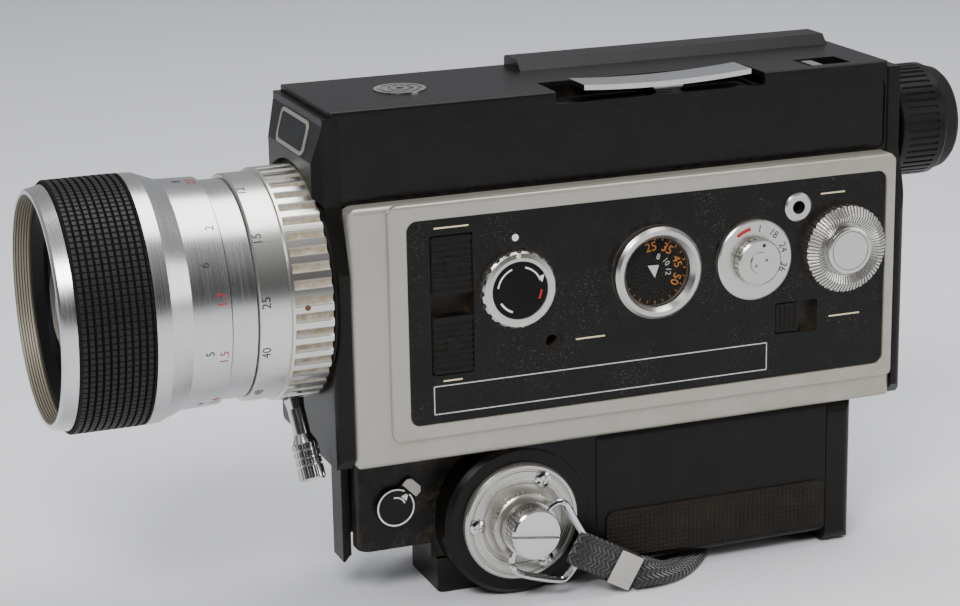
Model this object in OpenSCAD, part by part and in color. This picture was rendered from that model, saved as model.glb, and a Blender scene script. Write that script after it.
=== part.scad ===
// Hand-held cine camera for 8 mm cartridge film, with zoom lens and folding grip.
// Millimetres. +Z up, -X is where the lens points, -Y is the operating side.
// Origin: centre of the mouth of the tripod socket, on the plane the camera stands on.

/* [Body] */
// Length of the operating-side cover
cover_len = 149.4; // [149.4:0.2:150.4]
// Width of the lower body
body_w = 50.5; // [50.5:0.1:50.9]
// Width of the upper housing
upper_w = 40.5; // [40.1:0.1:40.9]
// Height of the lower body
lower_h = 66; // [66:0.1:66.4]
// Wall thickness of the side cover
cover_t = 1.6; // [1.4:0.1:1.8]
// Radius of the cover's corners
cover_r = 2.5; // [2:0.5:3]

/* [Lens] */
// Radius of the rubber focus grip
grip_ring_r = 30.9; // [30.7:0.1:31.2]
// Number of ribs on the zoom ring
zoom_ribs = 45; // [40:1:48]
// Thread radius of the filter mount
filter_r = 27.5; // [27.4:0.1:27.6]
// Travel of the zoom cell
zoom_travel = 12; // [8:1:14]

/* [Controls] */
// Radius of the exposure dial
auto_r = 9.8; // [9.4:0.1:10]
// Radius of the mode wheel
mode_r = 11.4; // [11:0.1:11.6]
// Serrations on the mode wheel
mode_teeth = 40; // [30:2:48]
// Bore radius of the remote jack
jack_r = 1.75; // [1.7:0.05:1.8]

/* [Grip] */
// Radius of the grip's pivot head
head_r = 20; // [19:0.5:20]
// Length of the grip behind the pivot
grip_len = 96; // [94:1:97]
// Radius of the pivot bolt
bolt_r = 4; // [3.5:0.5:4.5]

/* [Strap] */
// Width of the strap
strap_w = 8.4; // [8:0.1:8.6]
// Thickness of the strap
strap_t = 1.5; // [1.3:0.1:1.6]

/* [Drive] */
// Teeth on the motor pinion
pinion_z = 16; // [16:1:16]
// Teeth on the take-up gear
takeup_z = 56; // [56:1:56]
// Gear module
gear_m = 1; // [1:0.1:1]

/* [Detail] */
// Facet setting for curves
fn_main = 64; // [48:16:96]

/* [Hidden] */
$fn = fn_main;

// body box
x0 = -36;                 // front edge of the side cover
x1 = x0 + cover_len;      // rear edge of the side cover
xr = x1 + 3.3;            // rear face of the rear casting
hw = body_w / 2;
uw = upper_w / 2;
zb = 41.5;                // underside of the body
zm = zb + lower_h;        // top of the lower body
zt = 129.1;               // top of the upper housing
ztp = 130.6;              // top of the top plate
zh = 119.5;               // top of the film chamber's hump
zl = 84.9;                // lens axis height
ch_y0 = -8;               // film chamber, operating side
ch_y1 = 16.9;             // film chamber, door side
ze = 110.1;               // eyepiece axis height
// grip pivot
px = 9;
pz = 20.3;
// hinge line of the film door
dx = x0 + 2.2;
dy = hw - 1.6;
// gear centres: motor pinion and take-up gear
gx = 66;
gz = 75;
mx = gx + gear_m * (pinion_z + takeup_z) / 2 + 0.15;
mz = 75;

// ---------- helpers ----------
module bx(a, b, c, d, e, f) translate([a, c, e]) cube([b - a, d - c, f - e]);
module cx(a, b, r, y = 0, z = zl) translate([a, y, z]) rotate([0, 90, 0]) cylinder(h = b - a, r = r);
module cy(x, z, a, b, r) translate([x, b, z]) rotate([90, 0, 0]) cylinder(h = b - a, r = r);
module cyc(x, z, a, b, ra, rb) translate([x, b, z]) rotate([90, 0, 0]) cylinder(h = b - a, r1 = rb, r2 = ra);
module cz(x, y, a, b, r) translate([x, y, a]) cylinder(h = b - a, r = r);
module rr2(a, b, c, d, r) {
  translate([a + r, c]) square([b - a - 2 * r, d - c]);
  translate([a, c + r]) square([b - a, d - c - 2 * r]);
  for (p = [[a + r, c + r], [b - r, c + r], [a + r, d - r], [b - r, d - r]]) translate(p) circle(r = r);
}
// rounded rectangle in X and Z, from y = c to y = d
module ry(a, b, e, f, r, c, d) translate([0, d, 0]) rotate([90, 0, 0]) linear_extrude(d - c) rr2(a, b, e, f, r);
// rounded rectangle in Y and Z, from x = a to x = b
module rx(c, d, e, f, r, a, b) translate([a, 0, 0]) rotate([90, 0, 90]) linear_extrude(b - a) rr2(c, d, e, f, r);
// rounded rectangle in X and Y, from z = e to z = f
module rz(a, b, c, d, r, e, f) translate([0, 0, e]) linear_extrude(f - e) rr2(a, b, c, d, r);
// turned profile of [x, r] points about the lens axis
module turn(p, y = 0, z = zl) translate([0, y, z]) rotate([0, 90, 0]) rotate_extrude() polygon([for (q = p) [q[1], q[0]]]);
// turned profile of [y, r] points about an axis along Y
module turny(x, z, p) translate([x, 0, z]) rotate([-90, 0, 0]) rotate_extrude() polygon([for (q = p) [q[1], q[0]]]);
// outline of the body's ends in Y and Z
function end_outline(w, u) = [[-w + 3, zb], [w - 3, zb], [w, zb + 3], [w, zm - 16], [u, zm], [u, zt], [-u, zt], [-u, zm], [-w, zm - 16], [-w, zb + 3]];
// gear outline: z teeth, module m, first tooth centred on angle a0
function gear_pts(z, m, a0) = let (rp = m * z / 2, ra = rp + 0.85 * m, rf = rp - 1.15 * m, p = 360 / z)
  [for (i = [0:z - 1]) each [
    [rf * cos(a0 + p * (i - 0.32)), rf * sin(a0 + p * (i - 0.32))],
    [ra * cos(a0 + p * (i - 0.09)), ra * sin(a0 + p * (i - 0.09))],
    [ra * cos(a0 + p * (i + 0.09)), ra * sin(a0 + p * (i + 0.09))],
    [rf * cos(a0 + p * (i + 0.32)), rf * sin(a0 + p * (i + 0.32))]]];

// ---------- fixed body ----------
module chassis() color([0.11, 0.11, 0.11]) {
  frame();
  // hinge pin of the film door with its two lugs
  cz(dx, dy, zb - 1, zm + 1, 0.8);
  for (z = [zb - 1.7, zm + 0.2]) {
    cz(dx, dy, z, z + 1.5, 1.6);
    bx(x0, dx + 1.6, 16, dy, z, z + 1.5);
  }
  bx(x0, dx + 1.6, 16, 20.9, zb - 1.7, zb + 0.2);
}
module frame() difference() {
  union() {
    difference() {
      union() {
        bx(x0, x1, -11.8, ch_y1, zb, zm);
        bx(x0, x1, -10.1, ch_y1, zm - 1, zh);
        // fillers beside the door's hinge
        bx(x0, -30.5, ch_y1 - 0.1, 20.9, zb, zm);
        bx(x0, -30.5, ch_y1 - 0.1, uw, zm - 0.1, zh);
      }
      // front compartment for lens and shutter
      bx(x0 + 3, 8, ch_y0, ch_y1 - 1.6, zb + 2, zh - 2);
      // film chamber, open to the door
      bx(12, 92, ch_y0, ch_y1 + 1, zb + 2, zh - 2);
      // rear compartment for the motor
      bx(94.5, x1 - 1.6, ch_y0, ch_y1 - 1.6, zb + 2, zh - 2);
      // recess of the mechanism side
      bx(x0 + 1.6, x1 - 1.6, -12, -10, zb + 1.6, zm - 1.6);
    }
    // lugs of the trigger's pin
    for (y = [-7.3, 5]) bx(-35, -29.4, y, y + 2.2, zb + 1, zb + 6.2);
  }
  // opening for the lens
  cx(x0 - 1, x0 + 4, 22.1);
  // aperture behind the lens, seat of the gate, bore of the shutter shaft
  bx(7, 13, -3.2, 3.2, zl - 2.6, zl + 2.6);
  bx(10.4, 13, -7.6, 8.2, zl - 14, zl + 14);
  cx(7, 10.5, 1.55, 3.6, 76.5);
  // bores for the spindle and the motor shaft
  cy(gx, gz, -12, -7, 2.05);
  cy(mx, mz, -12, -7, 1.05);
  // rear wall opening for the eyepiece
  cx(x1 - 2, x1 + 1, 8, 0, ze);
  // groove that clears the door's hinge
  cz(dx, dy, zb - 1, zh + 1, 2.4);
  // slot of the trigger
  bx(-34.9, -28.4, -4.8, 4.4, zb - 1, zb + 6.5);
  // bore of the trigger's pin
  cy(-32.4, zb + 3.2, -8, 8, 1.26);
}

module front_casting() color([0.13, 0.13, 0.13]) difference() {
  union() {
    intersection() {
      translate([x0 - 4.2, 0, 0]) rotate([90, 0, 90]) linear_extrude(4.2) polygon(end_outline(hw, uw));
      rz(x0 - 4.2, x0 + 12, -hw, hw, 2.4, zb - 1, zt + 1);
    }
    // nose above the lens
    translate([0, uw, 0]) rotate([90, 0, 0]) linear_extrude(upper_w) polygon([[x0, zm - 4], [x0 - 6.6, zm - 4], [x0 - 6.6, 118.1], [x0 - 3.7, zt], [x0, zt]]);
  }
  // arch round the lens
  cx(x0 - 8, x0 - 4.2, 30.6);
  // lens opening
  cx(x0 - 5, x0 + 1, 23.1);
  // bevels on the upright edges of the nose
  for (s = [-1, 1]) translate([x0 - 6.6, s * uw, 0]) rotate([0, 0, 45]) bx(-1.6, 1.6, -1.6, 1.6, zm - 6, zt + 1);
  // seat of the badge
  translate([x0 - 6.6, 0, 118.1]) rotate([0, 15.1, 0]) rx(-11.3, 11.3, 0.2, 9.2, 2.2, -1, 0.5);
}
module badge() color([0.75, 0.75, 0.72]) translate([x0 - 6.6, 0, 118.1]) rotate([0, 15.1, 0]) difference() {
  rx(-11.2, 11.2, 0.3, 9.1, 2.1, -0.35, 0.5);
  rx(-10.3, 10.3, 1.2, 8.2, 1.5, -0.5, -0.15);
}

module side_cover() color([0.76, 0.75, 0.71]) difference() {
  union() {
    intersection() {
      ry(x0, x1, zb, zm, cover_r, -hw, -11.85);
      rx(-hw, hw, zb, zm, 1.5, x0 - 1, x1 + 1);
      rz(x0, x1, -hw, hw, 2.2, zb - 1, zm + 1);
    }
    // raised frame round the panel
    intersection() {
      ry(x0 + 9.5, x1 - 0.4, zb + 6, zm, 2.8, -hw - 1.2, -hw + 0.5);
      rx(-hw - 1.2, hw, zb + 6, zm, 0.9, x0, x1);
      rz(x0 + 9.5, x1 - 0.4, -hw - 1.2, hw, 1.1, zb, zm + 1);
    }
  }
  ry(x0 + cover_t, x1 - cover_t, zb + cover_t, zm - cover_t, 1.5, -hw + cover_t, -11);
  // seat of the control panel
  ry(x0 + 14.2, x1 - 3.4, zb + 9.8, zb + 61.9, 2.7, -hw - 2, -hw + 0.5);
  // window behind the seat
  ry(x0 + 18, x1 - 8, zb + 13.5, zb + 58, 2, -hw, -hw + 3);
}
module control_panel() color([0.03, 0.03, 0.03]) difference() {
  union() {
    ry(x0 + 14.36, x1 - 3.6, zb + 10, zb + 61.7, 2.5, -hw - 0.7, -hw + 0.5);
    // wells of the slide switches
    ry(x0 + 19.2, x0 + 32.5, zb + 21, zb + 58, 1, -hw + 0.3, -hw + 4.4);
    ry(x0 + 113.4, x0 + 127.5, zb + 20.1, zb + 30.6, 0.8, -hw + 0.3, -hw + 3.2);
    // boss of the single-frame release
    cy(x0 + 52.4, zb + 27.1, -hw + 0.3, -hw + 4, 3.6);
  }
  ry(x0 + 20.2, x0 + 31.5, zb + 22, zb + 57.6, 0.6, -hw - 2, -hw + 3.4);
  ry(x0 + 114.4, x0 + 126.5, zb + 21.1, zb + 29.6, 0.5, -hw - 2, -hw + 2.2);
  cy(x0 + 52.4, zb + 27.1, -hw - 2, -hw + 5, 1.6);
  cy(x0 + 52.4, zb + 27.1, -hw - 2, -hw + 0.1, 2.5);
  // openings for the dials, window and jack
  cy(x0 + 42.86, zb + 42.07, -hw - 2, -hw + 5, 4.05);
  cy(x0 + 80.28, zb + 42.29, -hw - 2, -hw + 5, 10.4);
  cy(x0 + 107.77, zb + 42.3, -hw - 2, -hw + 5, 3.05);
  cy(x0 + 133.2, zb + 42.8, -hw - 2, -hw + 5, 3.05);
  cy(x0 + 120.3, zb + 54.7, -hw - 2, -hw + 5, 3.02);
}

module upper_housing() color([0.04, 0.04, 0.04]) difference() {
  translate([x0, 0, 0]) rotate([90, 0, 90]) linear_extrude(cover_len - 0.6) polygon([[-uw, zm], [-10.2, zm], [-10.2, zh + 0.1], [uw, zh + 0.1], [uw, zt], [-uw, zt]]);
  translate([x0 + 1.5, 0, 0]) rotate([90, 0, 90]) linear_extrude(cover_len - 3.6) polygon([[-uw + 1.6, zm + 1.5], [-11.7, zm + 1.5], [-11.7, zh + 1.5], [uw - 1.5, zh + 1.5], [uw - 1.5, zt + 1], [-uw + 1.6, zt + 1]]);
  // recessed glossy side panel
  ry(x0 + 2, x1 - 1, zm + 0.7, zm + 18.3, 1.5, -uw - 1, -uw + 0.5);
  // opening under the rocker
  bx(x0 + 56.2, x0 + 113.5, -uw - 1, -7.4, zt - 1.6, zt + 1);
  // rear passage of the viewfinder
  cx(x1 - 3, x1 + 1, 3.3, -15.2, 114.6);
}

module top_plate() color([0.15, 0.15, 0.15]) difference() {
  union() {
    intersection() {
      rz(x0 - 2.4, x1 - 0.2, -uw, uw, 1, zt, ztp);
      rx(-uw, uw, zt - 9, ztp, 0.7, x0 - 3, x1 + 1);
    }
    // raised strip over the battery test window
    translate([x0 + 58.4, 0, 0]) rotate([90, 0, 90]) linear_extrude(88.6) polygon([[8.9, zt + 0.5], [8.9, ztp], [11.4, ztp + 2.5], [uw - 0.7, ztp + 2.5], [uw, ztp + 1.8], [uw, zt + 0.5]]);
    rz(x0 + 126.4, x0 + 141, -uw + 2, -6.6, 0.8, zt - 3.4, zt + 0.5);
    // tray and lugs of the zoom rocker
    rz(x0 + 58, x0 + 112, -uw + 2, -7.6, 0.8, zt - 6.4, zt - 5);
    for (x = [58, 94]) bx(x0 + x, x0 + x + (x < 60 ? 25 : 18), -uw + 2, -7.6, zt - 5.1, zt - 2.6);
    for (y = [-17.9, -9.4]) bx(x0 + 84, x0 + 93, y, y + 1.6, zt - 6, zt - 1.9);
    bx(x0 + 57, x0 + 113, -7.35, -6.2, zt - 6.4, zt + 0.5);
    bx(x0 + 56.4, x0 + 58, -17.9, -6.4, zt - 6.4, zt - 1.9);
    bx(x0 + 112, x0 + 113.4, -17.9, -6.4, zt - 6.4, zt - 1.9);
    bx(x0 + 57, x0 + 113, -8.2, -6.4, zt - 6.4, zt - 4.9);
  }
  // seat of the light socket
  cz(x0 + 22.6, 0, zt - 1, ztp + 1, 6.6);
  // window of the rocker
  bx(x0 + 56.2, x0 + 113.5, -uw - 1, -7.4, zt - 1.7, ztp + 1);
  // slot of the slider
  rz(x0 + 127.6, x0 + 139.8, -uw + 3.2, -7.8, 0.5, zt - 2.2, ztp + 1);
  // bore of the rocker's pin
  cy(x0 + 88.5, zt - 3.6, -uw + 1, -6.9, 1.26);
}
module light_socket() color([0.8, 0.8, 0.78]) difference() {
  cz(x0 + 22.6, 0, zt, ztp + 0.35, 6.55);
  difference() { cz(x0 + 22.6, 0, ztp - 0.35, ztp + 1, 5.6); cz(x0 + 22.6, 0, ztp - 1, ztp + 1, 4.6); }
  difference() { cz(x0 + 22.6, 0, ztp - 0.35, ztp + 1, 3.6); cz(x0 + 22.6, 0, ztp - 1, ztp + 1, 2.4); }
  cz(x0 + 22.6, 0, zt - 1, ztp + 1, 1.1);
}
module rear_casting() color([0.11, 0.11, 0.11]) difference() {
  intersection() {
    translate([x1, 0, 0]) rotate([90, 0, 90]) linear_extrude(xr - x1) polygon(end_outline(hw, uw));
    rz(x1 - 12, xr, -hw, hw, 2.4, zb - 1, zt + 1);
  }
  cx(x1 - 1, xr + 1, 9.6, 0, ze);
  // light path from the viewfinder tube to the eyepiece
  bx(x1 - 1, x1 + 1.5, -19, 0, 111, 118.2);
  // thumb notch that frees the film door
  ry(x1 - 1, xr + 1, 70, 90, 1, hw - 2.4, hw + 1);
}
// ---------- eyepiece ----------
module eyepiece_tube() color([0.1, 0.1, 0.1]) turn([[x1 + 0.1, 7.6], [x1 + 0.1, 9.55], [xr, 9.55], [xr, 13.6], [xr + 3.9, 13.6], [xr + 3.9, 11.2], [xr + 17, 11.2], [xr + 17, 10], [xr + 6, 10], [xr + 6, 7.6]], 0, ze);
module diopter_ring() color([0.12, 0.12, 0.12]) difference() {
  turn([[xr + 4.2, 11.26], [xr + 4.2, 14.4], [xr + 4.8, 15], [xr + 17.4, 15], [xr + 18, 14.6], [xr + 18, 9.2], [xr + 11.5, 9.2], [xr + 11.5, 9.94], [xr + 17.3, 9.94], [xr + 17.3, 11.26]], 0, ze);
  for (i = [0:47]) translate([0, 0, ze]) rotate([i * 7.5, 0, 0]) bx(xr + 6.5, xr + 15.5, -0.4, 0.4, 14.6, 16);
}
module eyecup() color([0.07, 0.07, 0.07]) turn([[xr + 18, 10.4], [xr + 18, 14.5], [xr + 21.4, 13.6], [xr + 22.6, 12.6], [xr + 23, 11.4], [xr + 22.4, 10.4], [xr + 20.4, 9.4], [xr + 20.4, 7.2], [xr + 19, 7.2]], 0, ze);
module eyepiece_lens() color([0.35, 0.4, 0.5]) turn([[xr + 12, 0], [xr + 12, 9.2], [xr + 14, 9.2], [xr + 14.8, 6.6], [xr + 15.3, 3.4], [xr + 15.5, 0]], 0, ze);
// ---------- lens ----------
module lens_flange() color([0.06, 0.06, 0.06]) turn([[x0 - 4.8, 23.05], [x0 - 4.8, 28.3], [x0 - 4.2, 28.3], [x0 - 4.2, 23.02], [x0 - 0.2, 23.02], [x0 - 0.2, 22], [x0 - 4.4, 22]]);
module lens_barrel() color([0.74, 0.74, 0.73]) turn([[-94.5, 21.5], [-94.5, 25], [-66, 25], [-65.82, 27.2], [-59.73, 27.2], [-59.73, 25], [x0 - 4.9, 25], [x0 - 4.9, 21.9], [x0 - 0.2, 21.9], [x0 - 0.2, 18], [x0 - 6, 18], [x0 - 8, 21.5]]);
module rear_element() color([0.4, 0.42, 0.6]) turn([[x0 - 5.6, 0], [x0 - 5, 9], [x0 - 3.6, 17.95], [x0 - 1, 17.95], [x0 - 0.6, 9], [x0 - 0.4, 0]]);
module focus_barrel() color([0.78, 0.78, 0.77]) turn([[-107.17, filter_r], [-107.17, 28.8], [-106.6, 29.2], [-103.4, 29.9], [-103.1, 29.3], [-85, 29.3], [-85, grip_ring_r], [-81.21, 30.7], [-75.69, 28.5], [-66.3, 28.2], [-66.3, 25.06], [-84, 25.06], [-84, 25.8], [-95.6, 25.8], [-95.6, 25.2], [-99.1, 25.2], [-99.1, 26.85], [-103.1, 26.85], [-103.1, filter_r]]);
module focus_rubber() color([0.06, 0.06, 0.06]) difference() {
  turn([[-103.09, 29.35], [-103.09, 30.5], [-102.6, grip_ring_r], [-85.6, grip_ring_r], [-85.1, 30.6], [-85.1, 29.35]]);
  for (i = [0:9]) translate([-101.6 + i * 1.72, 0, zl]) rotate([0, 90, 0]) difference() { cylinder(h = 0.6, r = 32); translate([0, 0, -1]) cylinder(h = 3, r = 30.3); }
}
module front_retainer() color([0.05, 0.05, 0.05]) turn([[-103.1, 24.6], [-103.1, 26.85], [-99.1, 26.85], [-99.1, 22.4], [-100.6, 22.4]]);
module front_element() color([0.35, 0.3, 0.55]) turn([[-102.4, 0], [-102, 9], [-100.8, 17], [-99.1, 22.4], [-99.1, 25.15], [-96.1, 25.15], [-97.5, 0]]);
module zoom_ring() color([0.78, 0.78, 0.76]) difference() {
  turn([[-59.4, 25.06], [-59.4, 27.9], [-59, 28.3], [-51.7, 28.3], [-51.5, 29.1], [x0 - 5.3, 29.1], [x0 - 5.3, 25.06]]);
  for (i = [0:zoom_ribs - 1]) translate([0, 0, zl]) rotate([i * 360 / zoom_ribs + 5, 0, 0]) translate([-50.9, 0, 29.5]) rotate([0, 90, 0]) cylinder(h = 12, r = 1.3, $fn = 16);
  translate([-47.5, 0, zl]) rotate([-24, 0, 0]) translate([0, 0, -29.4]) cylinder(h = 2.6, r = 1.6);
}
module zoom_lever() color([0.83, 0.83, 0.82]) translate([-47.5, 0, zl]) rotate([-24, 0, 0]) translate([0, 0, -28]) rotate([0, 175, 0]) {
  translate([0, 0, -1]) cylinder(h = 2.6, r = 1.3);
  difference() {
    rotate_extrude() polygon([[0, 1.5], [2.5, 1.5], [2.15, 4], [2.15, 10.5], [3.3, 13], [3.3, 21.6], [2.9, 22.1], [0, 22.1]]);
    for (z = [14.3, 16.2, 18.1]) translate([0, 0, z]) difference() { cylinder(h = 0.5, r = 4); translate([0, 0, -1]) cylinder(h = 3, r = 2.9); }
    for (i = [0:23]) rotate([0, 0, i * 15]) translate([3.4, 0, 12.8]) cylinder(h = 12, r = 0.24, $fn = 8);
  }
}
module variator_cell() color([0.5, 0.5, 0.52]) {
  difference() { cx(-82, -68, 21.4); cx(-83, -67, 17.5); }
  turn([[-77, 0], [-78.6, 17.5], [-73, 17.5], [-74.4, 0]]);
}

// ---------- top controls ----------
function sag(x) = 0.0018 * x * x + 0.01 * x;
module zoom_rocker() color([0.82, 0.82, 0.8]) {
  translate([x0 + 88.5, -8.5, zt]) rotate([90, 0, 0]) linear_extrude(10) polygon(concat(
    [for (i = [-24:2:22]) [i, 0.1 + sag(i)]], [for (i = [22:-2:-24]) [i, 1.4 + sag(i)]]));
  translate([x0 + 88.5, -9.7, zt]) rotate([90, 0, 0]) linear_extrude(6.4) polygon([[-3, -2.4], [3, -2.4], [5, 1], [-5, 1]]);
  cy(x0 + 88.5, zt - 3.6, -17.8, -7.9, 1.2);
  bx(x0 + 86.6, x0 + 90.4, -16.1, -9.7, zt - 4.8, zt - 2);
}
module top_slider() color([0.7, 0.7, 0.68]) {
  rz(x0 + 128.1, x0 + 134.3, -uw + 3.7, -8.2, 0.4, zt - 1.9, zt - 0.6);
  rz(x0 + 129.6, x0 + 132.6, -uw + 4.4, -8.9, 0.4, zt - 0.8, ztp - 0.3);
}

// ---------- side controls ----------
module auto_dial() color([0.8, 0.8, 0.78]) difference() {
  union() {
    turny(x0 + 42.86, zb + 42.07, [[-hw - 0.9, 0], [-hw - 0.9, auto_r], [-hw - 2.4, auto_r], [-hw - 2.9, auto_r - 0.5], [-hw - 3.1, 8.2], [-hw - 3.1, 0]]);
    cy(x0 + 42.86, zb + 42.07, -hw - 1, -hw + 8, 4);
  }
  cy(x0 + 42.86, zb + 42.07, -hw - 4, -hw - 2.6, 7.4);
  for (i = [0:19]) translate([x0 + 42.86, 0, zb + 42.07]) rotate([0, i * 18, 0]) cy(auto_r + 0.45, 0, -hw - 4, -hw - 0.5, 0.9);
}
module footage_bezel() color([0.82, 0.82, 0.81]) turny(x0 + 80.28, zb + 42.29, [[-hw + 0.7, 8.9], [-hw + 0.7, 1.55], [-hw + 1.6, 1.55], [-hw + 1.6, 10.35], [-hw - 0.75, 10.35], [-hw - 0.75, 11.9], [-hw - 3.2, 11.9], [-hw - 4, 11.1], [-hw - 4, 10], [-hw - 2.6, 8.9]]);
module footage_glass() color([0.6, 0.65, 0.7, 0.35]) turny(x0 + 80.28, zb + 42.29, [[-hw - 1.4, 0], [-hw - 1.4, 8.9], [-hw - 2.4, 8.9], [-hw - 3, 7], [-hw - 3.5, 4], [-hw - 3.7, 0]]);
module footage_dial() color([0.04, 0.04, 0.04]) {
  turny(x0 + 80.28, zb + 42.29, [[-hw + 0.2, 0], [-hw + 0.2, 8.6], [-hw - 0.5, 8.6], [-hw - 0.5, 0]]);
  cy(x0 + 80.28, zb + 42.29, -hw + 0.1, -hw + 9, 1.5);
}
module speed_plate() color([0.78, 0.78, 0.76]) turny(x0 + 107.77, zb + 42.3, [[-hw + 0.4, 2.05], [-hw + 0.4, 3], [-hw - 0.75, 3], [-hw - 0.75, 10.5], [-hw - 1.9, 10.5], [-hw - 2.2, 10.1], [-hw - 2.2, 2.05]]);
module speed_knob() color([0.8, 0.8, 0.79]) difference() {
  union() {
    turny(x0 + 107.77, zb + 42.3, [[-hw - 2.5, 0], [-hw - 2.5, 6.1], [-hw - 4.6, 6.1], [-hw - 5, 5.6], [-hw - 5, 2.9], [-hw - 5.5, 2.7], [-hw - 5.5, 0]]);
    cy(x0 + 107.77, zb + 42.3, -hw - 2.6, -hw + 8, 2);
  }
  for (i = [0:29]) translate([x0 + 107.77, 0, zb + 42.3]) rotate([0, i * 12, 0]) cy(6.35, 0, -hw - 5.2, -hw - 2, 0.42);
  for (s = [-1.5, 1.5]) cy(x0 + 107.77 + s, zb + 42.3 + s * 0.4, -hw - 6, -hw - 5, 0.42);
}
module mode_knob() color([0.82, 0.82, 0.8]) difference() {
  union() {
    turny(x0 + 133.2, zb + 42.8, [[-hw - 1, 0], [-hw - 1, mode_r - 0.3], [-hw - 1.4, mode_r], [-hw - 3.6, mode_r], [-hw - 5.2, mode_r - 2.4], [-hw - 4.2, 6.6], [-hw - 4.2, 6.4], [-hw - 5.6, 6.1], [-hw - 5.8, 5.6], [-hw - 5.8, 0]]);
    cy(x0 + 133.2, zb + 42.8, -hw - 1.1, -hw + 8, 3);
  }
  for (i = [0:mode_teeth - 1]) translate([x0 + 133.2, 0, zb + 42.8]) rotate([0, i * 360 / mode_teeth, 0]) cy(mode_r + 0.2, 0, -hw - 6, -hw - 0.8, 0.45);
}
module remote_jack() color([0.78, 0.78, 0.76]) turny(x0 + 120.3, zb + 54.7, [[-hw + 6, jack_r], [-hw + 6, 3], [-hw - 0.75, 3], [-hw - 0.75, 3.75], [-hw - 1.3, 3.75], [-hw - 1.6, 3.3], [-hw - 1.6, jack_r]]);
module slide_key(a, b, e, f) {
  difference() {
    ry(a, b, e, f, 0.6, -hw - 0.9, -hw + 3.1);
    for (i = [0:7]) bx(a - 1, b + 1, -hw - 2, -hw - 0.45, e + 0.9 + i * (f - e - 1.8) / 8 + 0.1, e + 0.9 + i * (f - e - 1.8) / 8 + 0.85);
  }
  cy((a + b) / 2, (e + f) / 2, -hw - 1.15, -hw, 1.9);
}
module backlight_button() color([0.05, 0.05, 0.05]) slide_key(x0 + 20.7, x0 + 31, zb + 42.6, zb + 57.2);
module fade_button() color([0.05, 0.05, 0.05]) slide_key(x0 + 20.7, x0 + 31, zb + 22.4, zb + 36.9);
module zoom_speed_switch() color([0.06, 0.06, 0.06]) difference() {
  ry(x0 + 114.8, x0 + 121.2, zb + 21.5, zb + 29.2, 0.4, -hw - 0.4, -hw + 1.9);
  for (i = [0:3]) bx(x0 + 115.6 + i * 1.35, x0 + 116.3 + i * 1.35, -hw - 2, -hw + 0.1, zb + 22.4, zb + 28.3);
}

// ---------- film door, gate and drive ----------
module film_door() color([0.74, 0.73, 0.7]) difference() {
  union() {
    // lower panel with its deep rim, and the upper step
    intersection() {
      ry(dx, x1 - 0.45, zb + 0.3, zm - 0.2, 1.2, hw - 2.2, hw);
      rx(-hw, hw, zb + 0.3, zm - 0.2, 1.4, x0 - 1, x1 + 1);
      rz(x0 - 12, x1 - 0.45, -hw, hw, 1.8, zb - 1, zm + 1);
    }
    bx(dx + 5, x1 - 0.45, ch_y1 + 0.3, hw - 2, zb + 0.3, zm - 0.2);
    bx(dx + 5, x1 - 0.45, ch_y1 + 0.3, uw, zm - 1, zh - 0.2);
    // hinge barrel
    cz(dx, dy, zb + 0.3, zm - 0.2, 1.6);
    // raised thumb bar
    rz(x1 - 12, x1 - 6, hw - 0.5, hw + 1.2, 0.5, 62, 98);
  }
  // hollow over the chamber and behind the panel
  bx(dx + 7, x1 - 3, ch_y1, uw - 1.4, zb + 2.2, zh - 2);
  bx(dx + 7, x1 - 3, ch_y1, hw - 2, zb + 2.2, zm - 2);
  // bore for the hinge pin
  cz(dx, dy, zb, zm + 1, 0.87);
  // recess of the film window
  ry(38, 54, 74, 98, 1.5, hw - 0.9, hw + 1);
  // seat of the latch
  ry(x1 - 24, x1 - 15, 77, 88, 0.8, hw - 1.2, hw + 1);
}
module door_latch() color([0.1, 0.1, 0.1]) difference() {
  ry(x1 - 23.7, x1 - 18.8, 77.3, 87.7, 0.6, hw - 0.9, hw + 0.9);
  for (i = [0:2]) bx(x1 - 22.9 + i * 1.3, x1 - 22.3 + i * 1.3, hw + 0.4, hw + 2, 78.2, 86.8);
}
module film_gate() color([0.8, 0.8, 0.8]) difference() {
  bx(10.4, 11.9, -7.6, 8.2, zl - 14, zl + 14);
  bx(10, 13, -2.9, 2.9, zl - 2.1, zl + 2.1);
  bx(10, 13, 4.1, 5.1, zl - 6, zl + 1);
}
module takeup_spindle() color([0.7, 0.68, 0.6]) {
  translate([gx, -10.6, gz]) rotate([90, 0, 0]) linear_extrude(2.2) polygon(gear_pts(takeup_z, gear_m, 0));
  cy(gx, gz, -13.8, -2, 2);
  difference() {
    cy(gx, gz, -7.6, -1, 5);
    for (i = [0:2]) translate([gx, 0, gz]) rotate([0, i * 120, 0]) bx(3, 6, -6, 0, -1.2, 1.2);
  }
}
module motor() color([0.6, 0.6, 0.62]) turny(mx, mz, [[-8, 2.4], [-8, 7.4], [13.4, 7.4], [13.4, 0], [-2, 0], [-2, 2.4]]);
module motor_pinion() color([0.8, 0.7, 0.4]) {
  translate([mx, -10.6, mz]) rotate([90, 0, 0]) linear_extrude(2.2) polygon(gear_pts(pinion_z, gear_m, 180 / pinion_z));
  cy(mx, mz, -13.4, -2.3, 1);
}
module shutter_disc() color([0.2, 0.2, 0.2]) {
  difference() {
    cx(4.6, 5.3, 11.2, 3.6, 76.5);
    translate([0, 3.6, 76.5]) for (a = [120, 240]) rotate([a, 0, 0]) bx(4, 6, -4, 4, 3, 16);
  }
  cx(0, 10.2, 1.5, 3.6, 76.5);
}
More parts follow.
